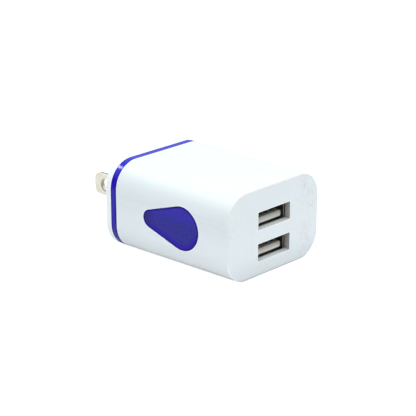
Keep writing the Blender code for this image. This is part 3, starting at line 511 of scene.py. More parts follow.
def plug_blade(side, materials):
    """A flat blade with a rounded tip and a bevelled hole, on a slimmer shank and tail in the cover."""
    node = f"plug_blade_{side}"
    low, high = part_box(node)
    half = high.z
    outline = [(FACE_Y + BLADE_START, -half)]
    for top in (-1, 1):
        for step in range(BLADE_TIP_STEPS + 1):
            share = step / BLADE_TIP_STEPS
            angle = math.pi / 2 * (share if top > 0 else share - 1)
            y = high.y - BLADE_TIP_RADIUS * (1 - math.cos(angle))
            z = top * (half - BLADE_TIP_RADIUS) + BLADE_TIP_RADIUS * math.sin(angle)
            outline.append((y, z))
    outline.append((FACE_Y + BLADE_START, half))
    faces = [[Vector((x, y, z)) for y, z in outline] for x in (low.x, high.x)]
    blade = new_piece(f"blade_{side}", lofted(faces))
    shoulder = FACE_Y - BLADE_SHOULDER_INSIDE
    overlap = 0.5 * MM
    shank_sides = (low.x + BLADE_SHANK_RELIEF, high.x - BLADE_SHANK_RELIEF)
    for ends, half_height in (
        ((shoulder, FACE_Y + BLADE_START + overlap), half - BLADE_SHANK_RELIEF),
        ((low.y, shoulder + overlap), BLADE_TAIL_HALF),
    ):
        combine(blade, block(shank_sides, ends, around(0, half_height)), "UNION")
    middle = Vector(((low.x + high.x) / 2, FACE_Y + BLADE_HOLE_FROM_FACE, 0))
    reach = high.x - low.x
    ends = (middle - Vector((reach, 0, 0)), middle + Vector((reach, 0, 0)))
    hole = lofted([circle_x(end, BLADE_HOLE_RADIUS) for end in ends])
    combine(blade, hole, "DIFFERENCE")
    soften_edges(blade, BLADE_EDGE, 3)
    shade(blade)
    hand_over(blade, materials, "blade_metal", [node])


# ---- sockets

def usb_shell(level, materials):
    """A folded sleeve with sprung leaves cut from its roof and floor, and two legs."""
    node = f"usb_shell_{level}"
    low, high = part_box(node)
    middle_z = (low.z + high.z) / 2
    half = (high.x, (high.z - low.z) / 2)
    end = low.y + SHELL_LENGTH
    loops = []
    for y, inset in (
        (low.y + SHELL_LIP, 0),
        (end, 0),
        (end, SHELL_THICKNESS),
        (low.y + SHELL_LIP, SHELL_THICKNESS),
        (low.y, SHELL_THICKNESS - SHELL_LIP),
        (low.y, SHELL_LIP),
    ):
        middle = Vector((0, y, middle_z))
        radius = SHELL_CORNER + SHELL_THICKNESS - inset
        loops.append(rounded_rectangle(middle, half[0] - inset, half[1] - inset, radius, 6))
    shell = new_piece(f"socket_shell_{level}", lofted(loops, closed=True))
    window_y = (low.y + LEAF_FRONT - LEAF_SLIT, low.y + LEAF_BACK)
    for x in (-LEAF_X, LEAF_X):
        for top in (-1, 1):
            wall_z = middle_z + top * (half[1] - SHELL_THICKNESS / 2)
            window_x = around(x, LEAF_HALF_WIDTH + LEAF_SLIT)
            window = block(window_x, window_y, around(wall_z, SHELL_THICKNESS))
            combine(shell, window, "DIFFERENCE")
            combine(shell, leaf(x, low.y, wall_z, top), "UNION")
    for side in (-1, 1):
        leg_x = around(side * (half[0] - SHELL_THICKNESS / 2), SHELL_LEG_HALF_WIDTH)
        leg_y = (end - SHELL_LEG_OVERLAP, high.y)
        combine(shell, block(leg_x, leg_y, around(middle_z, SHELL_LEG_HALF_HEIGHT)), "UNION")
    shade(shell, 30)
    hand_over(shell, materials, "socket_steel", [node])


def leaf(x, mouth_y, wall_z, top):
    """A sprung tongue of the shell's sheet that bows towards the plug."""
    length = LEAF_BACK - LEAF_FRONT + LEAF_BURY
    corners = ((-1, -1), (1, -1), (1, 1), (-1, 1))
    loops = []
    for step in range(LEAF_STEPS + 1):
        share = step / LEAF_STEPS
        y = mouth_y + LEAF_BACK + LEAF_BURY - length * share
        dip = LEAF_BOW * math.sin(math.pi * min(1.0, share * 1.25)) ** 2 if share > 0.1 else 0.0
        middle = Vector((x, y, wall_z - top * dip))
        reach = [Vector((i * LEAF_HALF_WIDTH, 0, j * LEAF_HALF_THICKNESS)) for i, j in corners]
        loops.append([middle + corner for corner in reach])
    return lofted(loops)


def usb_insulator(level, materials):
    """The moulded block and its grooved tongue, with a softly rounded nose."""
    node = f"usb_insulator_{level}"
    low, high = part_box(node)
    middle_z = (low.z + high.z) / 2
    block_start = high.y - BLOCK_LENGTH
    moulded_block = block((low.x, high.x), (block_start, high.y), (low.z, high.z))
    insulator = new_piece(f"socket_tongue_{level}", moulded_block)
    tongue_middle = middle_z + TONGUE_TOP - TONGUE_THICKNESS / 2
    loops = []
    for depth, inset in edge_arc(TONGUE_NOSE):
        loops.append(tongue_loop(low.y + depth, inset, tongue_middle))
    loops.append(tongue_loop(block_start + TONGUE_BURY, 0, tongue_middle))
    combine(insulator, lofted(loops), "UNION")
    grooves = bmesh.new()
    channels = bmesh.new()
    overlap = 0.2 * MM
    for use in CONTACT_USES:
        contact_low, contact_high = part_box(f"usb_contact_{level}_{use}")
        x = (contact_low.x + contact_high.x) / 2
        floor = middle_z + GROOVE_FLOOR
        sides = around(x, GROOVE_HALF_WIDTH)
        groove_y = (low.y + GROOVE_START, block_start)
        box(grooves, sides, groove_y, (floor, middle_z + CUTTER_REACH))
        roof = middle_z + TONGUE_TOP - overlap
        box(channels, sides, (block_start - overlap, high.y + overlap), (floor, roof))
    combine(insulator, grooves, "DIFFERENCE")
    combine(insulator, channels, "DIFFERENCE")
    shade(insulator)
    hand_over(insulator, materials, "tongue_plastic", [node])


def tongue_loop(y, inset, middle_z):
    half_x = TONGUE_HALF_WIDTH - inset
    half_z = TONGUE_THICKNESS / 2 - inset
    return rounded_rectangle(Vector((0, y, middle_z)), half_x, half_z, TONGUE_CORNER - inset / 2, 8)


def smooth_path(points, steps):
    """A curve through the points (Catmull-Rom), as many more points."""
    padded = [points[0], *points, points[-1]]
    path = []
    for a, b, c, d in zip(padded, padded[1:], padded[2:], padded[3:]):
        a, b, c, d = (Vector(p) for p in (a, b, c, d))
        for step in range(steps):
            t = step / steps
            path.append(
                0.5 * (2 * b + (c - a) * t + (2 * a - 5 * b + 4 * c - d) * t**2)
                + 0.5 * (3 * b - a - 3 * c + d) * t**3
            )
    path.append(Vector(points[-1]))
    return path


def usb_contact(level, use, materials):
    """A sprung finger with a smooth bump, on the hinge that stands for its bending."""
    node = f"usb_contact_{level}_{use}"
    joint = next(j for j in frame["joints"] if j["child"] == node)
    root = Vector(joint["pos_m"])
    path = smooth_path(CONTACT_PATH, CONTACT_STEPS)
    loops = []
    for i, here in enumerate(path):
        ahead = path[min(i + 1, len(path) - 1)]
        behind = path[max(i - 1, 0)]
        along = (ahead - behind).normalized()
        across = Vector((-along.y, along.x)) * CONTACT_THICKNESS / 2
        into_tip = max(0.0, i / (len(path) - 1) - (1 - CONTACT_TIP_SHARE)) / CONTACT_TIP_SHARE
        half = CONTACT_HALF_WIDTH * (1.0 - CONTACT_TIP_TAPER * into_tip)
        loop = []
        for side, up in ((-1, -1), (1, -1), (1, 1), (-1, 1)):
            spot = here + up * across
            loop.append(root + Vector((side * half, -spot.x, spot.y)))
        loops.append(loop)
    finger = new_piece(f"finger_{level}_{use}", lofted(loops))
    soften_edges(finger, CONTACT_EDGE, 2, 50)
    shade(finger)
    hand_over(finger, materials, "contact_metal", [node], body=node)


# ---- materials

class Graph:
    """A Principled material and short ways to add nodes to it."""

    def __init__(self, name):
        self.material = bpy.data.materials.new(name)
        self.material.use_nodes = True
        self.tree = self.material.node_tree
        self.shader = self.tree.nodes["Principled BSDF"]
        coordinates = self.tree.nodes.new("ShaderNodeTexCoord")
        scale = self.add("ShaderNodeVectorMath", operation="SCALE")
        scale.inputs["Scale"].default_value = 1 / MM
        self.join(coordinates.outputs["Object"], scale.inputs[0])
        self.millimetres = scale.outputs[0]

    def add(self, kind, **settings):
        node = self.tree.nodes.new(kind)
        for key, value in settings.items():
            setattr(node, key, value)
        return node

    def join(self, output, target):
        self.tree.links.new(output, target)

    def feed(self, target, value):
        """Links an output or sets a constant."""
        if isinstance(value, bpy.types.NodeSocket):
            self.join(value, target)
        else:
            target.default_value = value

    def set(self, **values):
        """Principled inputs by name, with _ for a space."""
        for name, value in values.items():
            self.feed(self.shader.inputs[name.replace("_", " ")], value)

    def noise(self, size, detail=3.0, stretch=(1, 1, 1), roughness=0.5):
        """Noise from 0 to 1 whose blobs are about size millimetres across."""
        mapping = self.add("ShaderNodeVectorMath", operation="MULTIPLY")
        mapping.inputs[1].default_value = stretch
        self.join(self.millimetres, mapping.inputs[0])
        node = self.add("ShaderNodeTexNoise")
        node.inputs["Scale"].default_value = 1 / size
        node.inputs["Detail"].default_value = detail
        node.inputs["Roughness"].default_value = roughness
        self.join(mapping.outputs[0], node.inputs["Vector"])
        return node.outputs["Fac"]

    def math(self, operation, a, b=0.0, clamp=False):
        node = self.add("ShaderNodeMath", operation=operation, use_clamp=clamp)
        self.feed(node.inputs[0], a)
        self.feed(node.inputs[1], b)
        return node.outputs[0]

    def ramp(self, value, low, high, to_low=0.0, to_high=1.0, smooth=True):
        """A value that goes from to_low to to_high while the input goes from low to high."""
        node = self.add("ShaderNodeMapRange", clamp=True)
        if smooth:
            node.interpolation_type = "SMOOTHSTEP"
        self.feed(node.inputs["Value"], value)
        set_range(node, low, high, to_low, to_high)
        return node.outputs["Result"]

    def mix(self, share, first, second):
        node = self.add("ShaderNodeMix", data_type="RGBA")
        self.feed(node.inputs["Factor"], share)
        self.feed(node.inputs["A"], colour4(first))
        self.feed(node.inputs["B"], colour4(second))
        return node.outputs["Result"]

    def axis(self, letter):
        """A coordinate in millimetres."""
        node = self.add("ShaderNodeSeparateXYZ")
        self.join(self.millimetres, node.inputs[0])
        return node.outputs[letter]

    def length(self, a, b):
        """The distance of the point (a, b) from zero."""
        joined = self.add("ShaderNodeCombineXYZ")
        self.feed(joined.inputs["X"], a)
        self.feed(joined.inputs["Y"], b)
        node = self.add("ShaderNodeVectorMath", operation="LENGTH")
        self.join(joined.outputs[0], node.inputs[0])
        return node.outputs["Value"]

    def normal(self, letter):
        """A component of the surface's direction."""
        geometry = self.add("ShaderNodeNewGeometry")
        node = self.add("ShaderNodeSeparateXYZ")
        self.join(geometry.outputs["Normal"], node.inputs[0])
        return node.outputs[letter]

    def from_value(self, value, middle):
        """How far a value is from the middle."""
        return self.math("ABSOLUTE", self.math("SUBTRACT", value, middle))

    def product(self, *values):
        result = values[0]
        for value in values[1:]:
            result = self.math("MULTIPLY", result, value)
        return result

    def dots(self, spacing, radius, share):
        """Sparse round specks: one in each cell of this size, kept in this share of the cells."""
        node = self.add("ShaderNodeTexVoronoi")
        node.inputs["Scale"].default_value = 1 / spacing
        self.join(self.millimetres, node.inputs["Vector"])
        spot = self.ramp(node.outputs["Distance"], 0.6 * radius / spacing, radius / spacing, 1.0, 0.0)
        split = self.add("ShaderNodeSeparateColor")
        self.join(node.outputs["Color"], split.inputs[0])
        kept = self.math("GREATER_THAN", split.outputs[0], 1 - share)
        return self.product(spot, kept)

    def bump(self, height, strength, distance_mm, normal=None):
        node = self.add("ShaderNodeBump")
        node.inputs["Strength"].default_value = strength
        node.inputs["Distance"].default_value = distance_mm * MM
        self.join(height, node.inputs["Height"])
        if normal is not None:
            self.join(normal, node.inputs["Normal"])
        return node.outputs["Normal"]

    def edges(self, radius_mm):
        """Near 1 within about radius_mm of a sharp edge."""
        bevel = self.add("ShaderNodeBevel", samples=6)
        bevel.inputs["Radius"].default_value = radius_mm * MM
        geometry = self.add("ShaderNodeNewGeometry")
        dot = self.add("ShaderNodeVectorMath", operation="DOT_PRODUCT")
        self.join(bevel.outputs["Normal"], dot.inputs[0])
        self.join(geometry.outputs["Normal"], dot.inputs[1])
        return self.ramp(dot.outputs["Value"], 0.75, 0.99, 1.0, 0.0)

    def cloudy(self, size, first, second):
        """Two colours that drift into each other in clouds about size millimetres across."""
        return self.mix(self.ramp(self.noise(size), 0.3, 0.7), first, second)

    def set_roughness(self, size, low, high, detail=3.0):
        """Roughness that drifts between low and high."""
        self.set(Roughness=self.ramp(self.noise(size, detail), 0.3, 0.7, low, high))

    def set_grain(self, size, strength, distance_mm, detail=3.0):
        """Fine bumps about size millimetres across."""
        self.set(Normal=self.bump(self.noise(size, detail), strength, distance_mm))

    def attribute(self, name):
        return self.add("ShaderNodeAttribute", attribute_name=name).outputs["Fac"]


def set_range(node, low, high, to_low, to_high):
    for name, number in zip(("From Min", "From Max", "To Min", "To Max"), (low, high, to_low, to_high)):
        node.inputs[name].default_value = number


def colour4(value):
    if isinstance(value, tuple) and len(value) == 3:
        return (*value, 1.0)
    return value


def drop_distance(g):
    """How far a point lies outside the drop's outline, in millimetres."""
    along = g.math("SUBTRACT", g.axis("Y"), at_depth(DROP_HEAD_DEPTH) / MM)
    across = g.math("ABSOLUTE", g.axis("Z"))
    span = (DROP_TAIL_DEPTH - DROP_HEAD_DEPTH) / MM
    shrink = (DROP_HEAD_RADIUS - DROP_TAIL_RADIUS) / MM
    lean = shrink / math.sqrt(span**2 - shrink**2)
    foot = g.math("SUBTRACT", along, g.product(across, lean))
    share = g.math("DIVIDE", foot, span, clamp=True)
    reach = g.length(g.math("SUBTRACT", along, g.product(share, span)), across)
    radius = g.math("SUBTRACT", DROP_HEAD_RADIUS / MM, g.product(share, shrink))
    return g.math("SUBTRACT", reach, radius)


def socket_distance(g):
    """How far a point lies outside the nearer socket opening, in millimetres."""
    z = g.axis("Z")
    upper, lower = (g.from_value(z, socket_middle(level) / MM) for level in ("upper", "lower"))
    above = g.math("SUBTRACT", g.math("MINIMUM", upper, lower), CUTOUT_HALF[1] / MM)
    beside = g.math("SUBTRACT", g.math("ABSOLUTE", g.axis("X")), CUTOUT_HALF[0] / MM)
    return g.math("MAXIMUM", above, beside)


def painted_rim_highlights(g):
    """1 along the rims of the drop, the sockets and the two sides of the ring, where a highlight is painted."""
    left = g.math("LESS_THAN", g.axis("X"), -HOUSING_HIGH.x / MM / 2)
    drop = g.product(left, g.ramp(drop_distance(g), 0.1, RIM_WIDTH / MM, 1.0, 0.0))
    front = g.math("LESS_THAN", g.normal("Y"), -0.7)
    sockets = g.product(front, g.ramp(socket_distance(g), 0.1, RIM_WIDTH / MM, 1.0, 0.0))
    ring_middle = (RING_Y + RING_WIDTH / 2) / MM
    beyond = g.math("SUBTRACT", g.from_value(g.axis("Y"), ring_middle), RING_WIDTH / MM / 2)
    ring = g.ramp(beyond, 0.1, RIM_WIDTH / MM, 1.0, 0.0)
    return g.math("MAXIMUM", g.math("MAXIMUM", drop, sockets), ring)


def socket_side_walls(g):
    """1 on the upright side walls inside the socket openings, where shade is painted."""
    inside = g.math("LESS_THAN", socket_distance(g), 0.03)
    return g.product(inside, g.ramp(g.math("ABSOLUTE", g.normal("X")), 0.5, 0.8))


def white_plastic():
    """Glossy white moulding with faint flow, scuffs and specks, plus painted sheen streaks, painted rim highlights
    and painted shade near the ring, on the upper sides, low on the front, in the socket walls and below.
    """
    g = Graph("white_moulding")
    streaks = g.noise(1.1, 3.0, (1, 0.03, 1))
    front_edge = g.ramp(g.axis("Y"), FRONT_Y / MM + 0.3, FRONT_Y / MM + 0.5, 1.0, 0.0)
    # The right and lower parts of the front edge: a highlight is painted there and the gloss is taken off.
    painted_edge_light = painted_edge_light_mask(g, front_edge)
    colour = moulded_tones_and_painted_shade(g, streaks)
    colour = rim_tones(g, colour, front_edge, painted_edge_light)
    colour = scuffs_specks_and_lower_shade(g, colour)
    # Painted shade on the side walls inside the socket openings.
    colour = g.mix(socket_side_walls(g), colour, socket_wall_painted_shade(g))
    colour = painted_shade_below(g, colour, front_edge)
    g.set(Base_Color=colour)
    smear = g.noise(3.0, 4.0, (1, 0.5, 1))
    g.set(Roughness=g.ramp(smear, 0.3, 0.75, 0.29, 0.38))
    g.set(Specular_IOR_Level=g.ramp(painted_edge_light, 0.0, 1.0, 0.4, 0.0))
    g.set(Coat_Weight=g.ramp(painted_edge_light, 0.0, 1.0, 0.15, 0.0), Coat_Roughness=0.15)
    g.set(Subsurface_Weight=0.1, Subsurface_Scale=0.6 * MM)
    grain = g.noise(0.18, 3.0)
    g.set(Normal=g.bump(grain, 0.03, 0.02, g.bump(streaks, 0.03, 0.1)))
    return g.material


def painted_edge_light_mask(g, front_edge):
    """1 on the right and lower parts of the front face's rounded edge, where a highlight is painted."""
    turned_right = g.ramp(g.normal("X"), 0.02, 0.25)
    turned_down = g.ramp(g.normal("Z"), -0.25, -0.02, 1.0, 0.0)
    return g.product(g.math("MAXIMUM", turned_right, turned_down), front_edge)


def moulded_tones_and_painted_shade(g, streaks):
    """The plastic's colour, paler on the cover, with painted sheen streaks along the upper bend and painted shade
    near the ring and on the upper sides.
    """
    y = g.axis("Y")
    shaded = (0.70, 0.765, 0.80)
    flow = g.noise(9.0, 2.0, (1, 0.35, 1))
    colour = g.mix(g.ramp(flow, 0.3, 0.7), (0.78, 0.845, 0.88), (0.79, 0.855, 0.885))
    # Painted sheen streaks along the upper bend.
    bend = g.ramp(g.from_value(g.axis("Z"), 3.5), 1.5, 4.0, 0.6, 0.15)
    colour = g.mix(g.product(g.ramp(streaks, 0.45, 0.65), bend), colour, (0.73, 0.79, 0.825))
    # Painted shade that greys the sleeve towards the ring.
    near_ring = g.ramp(y, RING_Y / MM - 16, RING_Y / MM - 1)
    on_sleeve = g.math("LESS_THAN", y, RING_Y / MM)
    colour = g.mix(g.product(near_ring, on_sleeve, 0.3), colour, shaded)
    # Painted shade on the upper parts of the sides.
    upper = g.product(g.ramp(g.axis("Z"), -3.0, 4.0), g.ramp(g.normal("Z"), 0.4, 0.7, 1.0, 0.0))
    sideways = g.ramp(g.math("ABSOLUTE", g.normal("X")), 0.5, 0.8)
    colour = g.mix(g.product(upper, sideways, 0.5), colour, shaded)
    on_cover = g.math("GREATER_THAN", y, RING_Y / MM)
    return g.mix(g.product(on_cover, 0.6), colour, (0.89, 0.96, 0.98))


def rim_tones(g, colour, front_edge, painted_edge_light):
    """Painted highlights along the rims, and the warm line round the front face, which a painted highlight turns
    pale on its right and lower parts.
    """
    # Painted highlights along the rims of the drop, the sockets and the ring.
    colour = g.mix(g.product(painted_rim_highlights(g), 0.7), colour, (0.93, 0.98, 1.0))
    rounding = g.ramp(g.normal("Y"), -0.97, -0.85)
    colour = g.mix(g.product(rounding, front_edge, 0.5), colour, (0.84, 0.81, 0.77))
    return g.mix(g.product(painted_edge_light, 0.9), colour, (0.95, 0.97, 0.98))


def scuffs_specks_and_lower_shade(g, colour):
    """Fine powder all over, painted shade low on the front, scuffs on the right of the front, and dark specks."""
    speck = (0.42, 0.42, 0.42)
    powder = g.ramp(g.noise(0.3, 2.0), 0.4, 0.6, 0.0, 0.12)
    colour = g.mix(powder, colour, (0.62, 0.68, 0.71))
    front = g.math("LESS_THAN", g.normal("Y"), -0.9)
    # Painted shade: the front face darker towards the bottom.
    low = g.ramp(g.axis("Z"), -12.0, -5.0, 1.0, 0.0)
    colour = g.mix(g.product(low, front, 0.8), colour, (0.68, 0.735, 0.765))
    right = g.product(g.ramp(g.axis("X"), 9.5, 12.5), g.ramp(g.axis("X"), 16.0, 17.0, 1.0, 0.0))
    patches = g.ramp(g.noise(3.0, 2.0), 0.42, 0.6)
    scuffs = g.ramp(g.noise(0.45, 3.0, (1.3, 1, 0.7), 0.7), 0.5, 0.62)
    colour = g.mix(g.product(scuffs, patches, right, front, 0.5), colour, (0.52, 0.53, 0.52))
    colour = g.mix(g.product(g.dots(1.5, 0.16, 0.2), front, 0.45), colour, (0.42, 0.42, 0.40))
    colour = g.mix(g.product(g.dots(2.4, 0.13, 0.35), 0.35), colour, speck)
    return g.mix(g.product(g.dots(6.0, 0.24, 0.3), 0.4), colour, speck)


# Painted shade for the socket openings' side walls, with faint upright lines.
def socket_wall_painted_shade(g):
    lines = g.ramp(g.noise(0.4, 1.0, (0.01, 1, 0.01)), 0.35, 0.65)
    return g.mix(lines, (0.37, 0.35, 0.33), (0.47, 0.45, 0.43))


def painted_shade_below(g, colour, front_edge):
    """Painted shade that deepens round the lower bend and underside, but not on the front face's edge."""
    behind_edge = g.math("SUBTRACT", 1.0, front_edge)
    low_bend = g.ramp(g.normal("Z"), -0.88, -0.58, 1.0, 0.0)
    colour = g.mix(g.product(low_bend, behind_edge, 0.45), colour, (0.42, 0.40, 0.38))
    below = g.ramp(g.normal("Z"), -0.88, -0.76, 1.0, 0.0)
    return g.mix(g.product(below, behind_edge, 0.85), colour, (0.25, 0.24, 0.23))


# Heights in millimetres over which each of the ring's blues sets in, going up: side, upper bend,
# bright corner, corner and top. Each blue has a tone for the seams and one for the middle.
# The blues paint light by height: painted shade low down and at the upper bend, and painted reflections that
# lighten the bright corner, the corner and the top.
RING_PAINTED_TONES = (
    (-9.0, -4.0, (0.019, 0.009, 0.315), (0.038, 0.038, 0.40)),
    (4.6, 6.2, (0.014, 0.001, 0.32), (0.018, 0.004, 0.41)),
    (7.8, 9.8, (0.020, 0.012, 0.42), (0.036, 0.036, 0.56)),
    (10.6, 11.2, (0.020, 0.012, 0.50), (0.034, 0.028, 0.60)),
    (11.9, 12.4, (0.039, 0.036, 0.46), (0.044, 0.048, 0.52)),
)


def ring_plastic():
    """Clear blue light guide, dark at both seams, with painted light by height: painted shade low down and deep at
    the upper bend, and painted reflections bright along the corner and the top.
    """
    g = Graph("ring_translucent")
    z = g.axis("Z")
    half = RING_WIDTH / MM / 2
    distance = g.from_value(g.axis("Y"), RING_Y / MM + half)
    core = g.ramp(distance, 0.3 * half, 0.95 * half, 1.0, 0.0)
    streak = g.noise(1.2, 3.0, (0.25, 1.6, 0.25))
    core = g.product(core, g.ramp(streak, 0.25, 0.75, 0.55, 1.0))
    colour = g.mix(core, (0.028, 0.020, 0.20), (0.050, 0.050, 0.33))
    for start, end, at_seams, in_middle in RING_PAINTED_TONES:
        colour = g.mix(g.ramp(z, start, end), colour, g.mix(core, at_seams, in_middle))
    g.set(Base_Color=colour)
    g.set_roughness(2.0, 0.08, 0.13)
    glint = g.product(g.ramp(z, 10.2, 10.9), g.ramp(z, 11.2, 11.6, 1.0, 0.0))
    g.set(Specular_IOR_Level=g.ramp(glint, 0.0, 1.0, 0.06, 0.65))
    g.set_grain(0.7, 0.04, 0.03, 2.0)
    return g.material


def window_plastic():
    """Dark blue lens: deep line round its rim, duller tail, a brighter band low down inside the rim and fine
    speckle.
    """
    g = Graph("window_translucent")
    rim = g.math("DIVIDE", g.attribute("rim"), MM)
    facing = g.attribute("facing")
    speckle = g.noise(0.28, 2.0)
    cloud = g.noise(3.0, 2.0)
    body = g.mix(g.ramp(speckle, 0.35, 0.65), (0.022, 0.022, 0.22), (0.043, 0.043, 0.34))
    body = g.mix(g.ramp(cloud, 0.3, 0.7, 0.0, 0.3), body, (0.033, 0.024, 0.33))
    body = g.mix(g.ramp(g.axis("Z"), 0.5, 3.5, 0.0, 0.85), body, (0.036, 0.030, 0.40))
    body = g.mix(g.product(g.dots(1.1, 0.16, 0.3), 0.5), body, (0.12, 0.07, 0.32))
    body = g.mix(g.product(g.dots(3.4, 0.2, 0.15), 0.7), body, (0.13, 0.16, 0.45))
    below = g.product(g.ramp(facing, -0.15, -0.55), g.ramp(rim, 0.9, 2.2, 1.0, 0.0))
    body = g.mix(below, body, (0.028, 0.014, 0.37))
    tail_end = at_depth(DROP_TAIL_DEPTH + DROP_TAIL_RADIUS) / MM
    tail = g.ramp(g.axis("Y"), tail_end - 4.5, tail_end)
    body = g.mix(g.product(tail, 0.85), body, (0.026, 0.017, 0.14))
    line = g.ramp(rim, 0.3, 0.65, 1.0, 0.0)
    body = g.mix(line, body, (0.018, 0.006, 0.25))
    g.set(Base_Color=body, Roughness=g.ramp(cloud, 0.3, 0.7, 0.14, 0.24))
    g.set(Specular_IOR_Level=0.08)
    g.set_grain(0.35, 0.03, 0.02, 2.0)
    return g.material


def plated(name, colour, dark, roughness, size, darkened=None):
    """Plated sheet metal: fine rolling lines, cloudy tarnish, brighter edges, and darker places where a darkening
    mask is given.
    """
    g = Graph(name)
    lines = g.noise(size, 4.0, (1, 0.08, 1))
    tarnish = g.noise(1.5, 4.0)
    tone = g.mix(g.ramp(tarnish, 0.35, 0.75), colour, dark)
    tone = g.mix(g.product(g.edges(0.12), 0.6), tone, tuple(min(1, c * 1.15) for c in colour))
    # Darker places from the given mask: on the blades, painted shade in the hole and a dark line along the top
    # edge.
    if darkened is not None:
        tone = g.mix(darkened(g), tone, tuple(0.3 * c for c in dark))
    g.set(Base_Color=tone, Metallic=1.0)
    g.set(Roughness=g.ramp(tarnish, 0.3, 0.7, roughness, roughness + 0.12))
    g.set(Normal=g.bump(lines, 0.08, 0.01))
    return g.material


def blade_hole_shade_and_top_line(g):
    """Painted shade inside the blade's hole, lighter low down behind a painted dark rim where the wall meets the
    outer face; a dark line along the top edge.
    """
    across = g.length(g.math("SUBTRACT", g.axis("Y"), (FACE_Y + BLADE_HOLE_FROM_FACE) / MM), g.axis("Z"))
    inside = g.ramp(across, BLADE_HOLE_RADIUS / MM - 0.02, BLADE_HOLE_RADIUS / MM + 0.08, 1.0, 0.0)
    # Both blades share one pattern: counted like this, each starts at 5.6 and ends at 7.1.
    from_left = g.math("FLOORED_MODULO", g.axis("X"), BLADE_SPREAD / MM)
    upper = g.ramp(g.axis("Z"), -0.85, -0.45, 0.08, 0.62)
    rim = g.ramp(from_left, 5.9, 6.2, 1.0, 0.0)
    lower_rim = g.product(rim, g.ramp(g.axis("Z"), -0.6, -0.3, 1.0, 0.0))
    hole = g.product(inside, g.math("MAXIMUM", upper, lower_rim))
    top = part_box("plug_blade_left")[1].z / MM
    inner_side = g.ramp(from_left, 6.1, 6.5)
    top_line = g.product(g.ramp(g.axis("Z"), top - 0.15, top - 0.05), inner_side, 0.75)
    return g.math("MAXIMUM", hole, top_line)


def tongue_plastic():
    """Pale nylon with painted shade that deepens up the tongue's nose, under the socket's roof."""
    g = Graph("tongue_moulding")
    bottom = (socket_middle("lower") + TONGUE_TOP - TONGUE_THICKNESS) / MM
    pitch = (socket_middle("upper") - socket_middle("lower")) / MM
    height = g.math("FLOORED_MODULO", g.math("SUBTRACT", g.axis("Z"), bottom), pitch)
    # Painted shade: darker towards the top of each tongue, under the socket's roof.
    tone = g.mix(g.ramp(height, 0.3, TONGUE_THICKNESS / MM - 0.1), (0.74, 0.745, 0.72), (0.38, 0.37, 0.335))
    streaks = g.noise(0.45, 3.0, (1, 1, 0.1))
    tone = g.mix(g.ramp(streaks, 0.5, 0.75, 0.0, 0.35), tone, (0.36, 0.34, 0.30))
    g.set(Base_Color=tone)
    g.set_roughness(1.0, 0.3, 0.42)
    g.set_grain(0.25, 0.12, 0.02)
    return g.material


def moulded(name, colour, dark, roughness, size=0.25):
    """Matt moulded plastic with fine grain and slight colour variation."""
    g = Graph(name)
    g.set(Base_Color=g.cloudy(2.5, colour, dark))
    g.set_roughness(1.0, roughness, roughness + 0.12)
    g.set_grain(size, 0.12, 0.02)
    return g.material


def board_laminate():
    """Green solder mask over woven glass, with copper tracks showing through."""
    g = Graph("board_solder_mask")
    weave = g.add("ShaderNodeTexBrick")
    weave.inputs["Scale"].default_value = 1.1
    weave.inputs["Mortar Size"].default_value = 0.06
    weave.inputs["Color1"].default_value = (1, 1, 1, 1)
    weave.inputs["Color2"].default_value = (0.6, 0.6, 0.6, 1)
    g.join(g.millimetres, weave.inputs["Vector"])
    tracks = g.ramp(g.noise(2.2, 0.0), 0.47, 0.5)
    mask = g.mix(tracks, (0.02, 0.13, 0.06), (0.05, 0.24, 0.1))
    mask = g.mix(g.product(weave.outputs["Fac"], 0.15), mask, (0.08, 0.2, 0.1))
    g.set(Base_Color=mask)
    g.set_roughness(1.0, 0.28, 0.42, 2.0)
    g.set(Normal=g.bump(tracks, 0.3, 0.03), Coat_Weight=0.3, Coat_Roughness=0.2)
    return g.material


def winding_tape():
    """Yellow film tape in overlapping turns."""
    g = Graph("winding_film_tape")
    turn = g.math("FRACT", g.product(g.axis("Y"), 0.45))
    edge = g.ramp(turn, 0.0, 0.06, 1.0, 0.0)
    tone = g.cloudy(2.0, (0.70, 0.43, 0.03), (0.78, 0.52, 0.06))
    tone = g.mix(g.product(edge, 0.5), tone, (0.4, 0.22, 0.01))
    g.set(Base_Color=tone, Roughness=g.ramp(turn, 0.0, 1.0, 0.22, 0.34, False))
    g.set(Normal=g.bump(turn, 0.2, 0.05), Coat_Weight=0.4)
    return g.material


def capacitor_sleeve():
    """Dark shrink sleeve with a pale stripe down one side, and fine wrinkles."""
    g = Graph("capacitor_shrink_sleeve")
    stripe = g.ramp(g.math("SINE", g.product(g.axis("X"), 0.9)), 0.93, 0.95)
    tone = g.cloudy(2.0, (0.012, 0.02, 0.05), (0.02, 0.03, 0.07))
    g.set(Base_Color=g.mix(stripe, tone, (0.5, 0.52, 0.55)))
    g.set_roughness(1.2, 0.25, 0.4)
    g.set(Normal=g.bump(g.noise(0.8, 3.0, (1, 1, 0.3)), 0.15, 0.03))
    return g.material


def resistor_coat():
    """Green lacquer with painted bands."""
    g = Graph("resistor_lacquer")
    x = g.axis("X")
    tone = g.cloudy(0.8, (0.12, 0.3, 0.2), (0.16, 0.36, 0.25))
    for place, paint in ((-2.4, (0.3, 0.02, 0.02)), (-1.3, (0.02, 0.02, 0.02)), (0.6, (0.5, 0.35, 0.05))):
        tone = g.mix(g.ramp(g.from_value(x, place), 0.25, 0.3, 1.0, 0.0), tone, paint)
    g.set(Base_Color=tone)
    g.set_roughness(1.0, 0.3, 0.45, 2.0)
    g.set_grain(0.5, 0.12, 0.03)
    return g.material


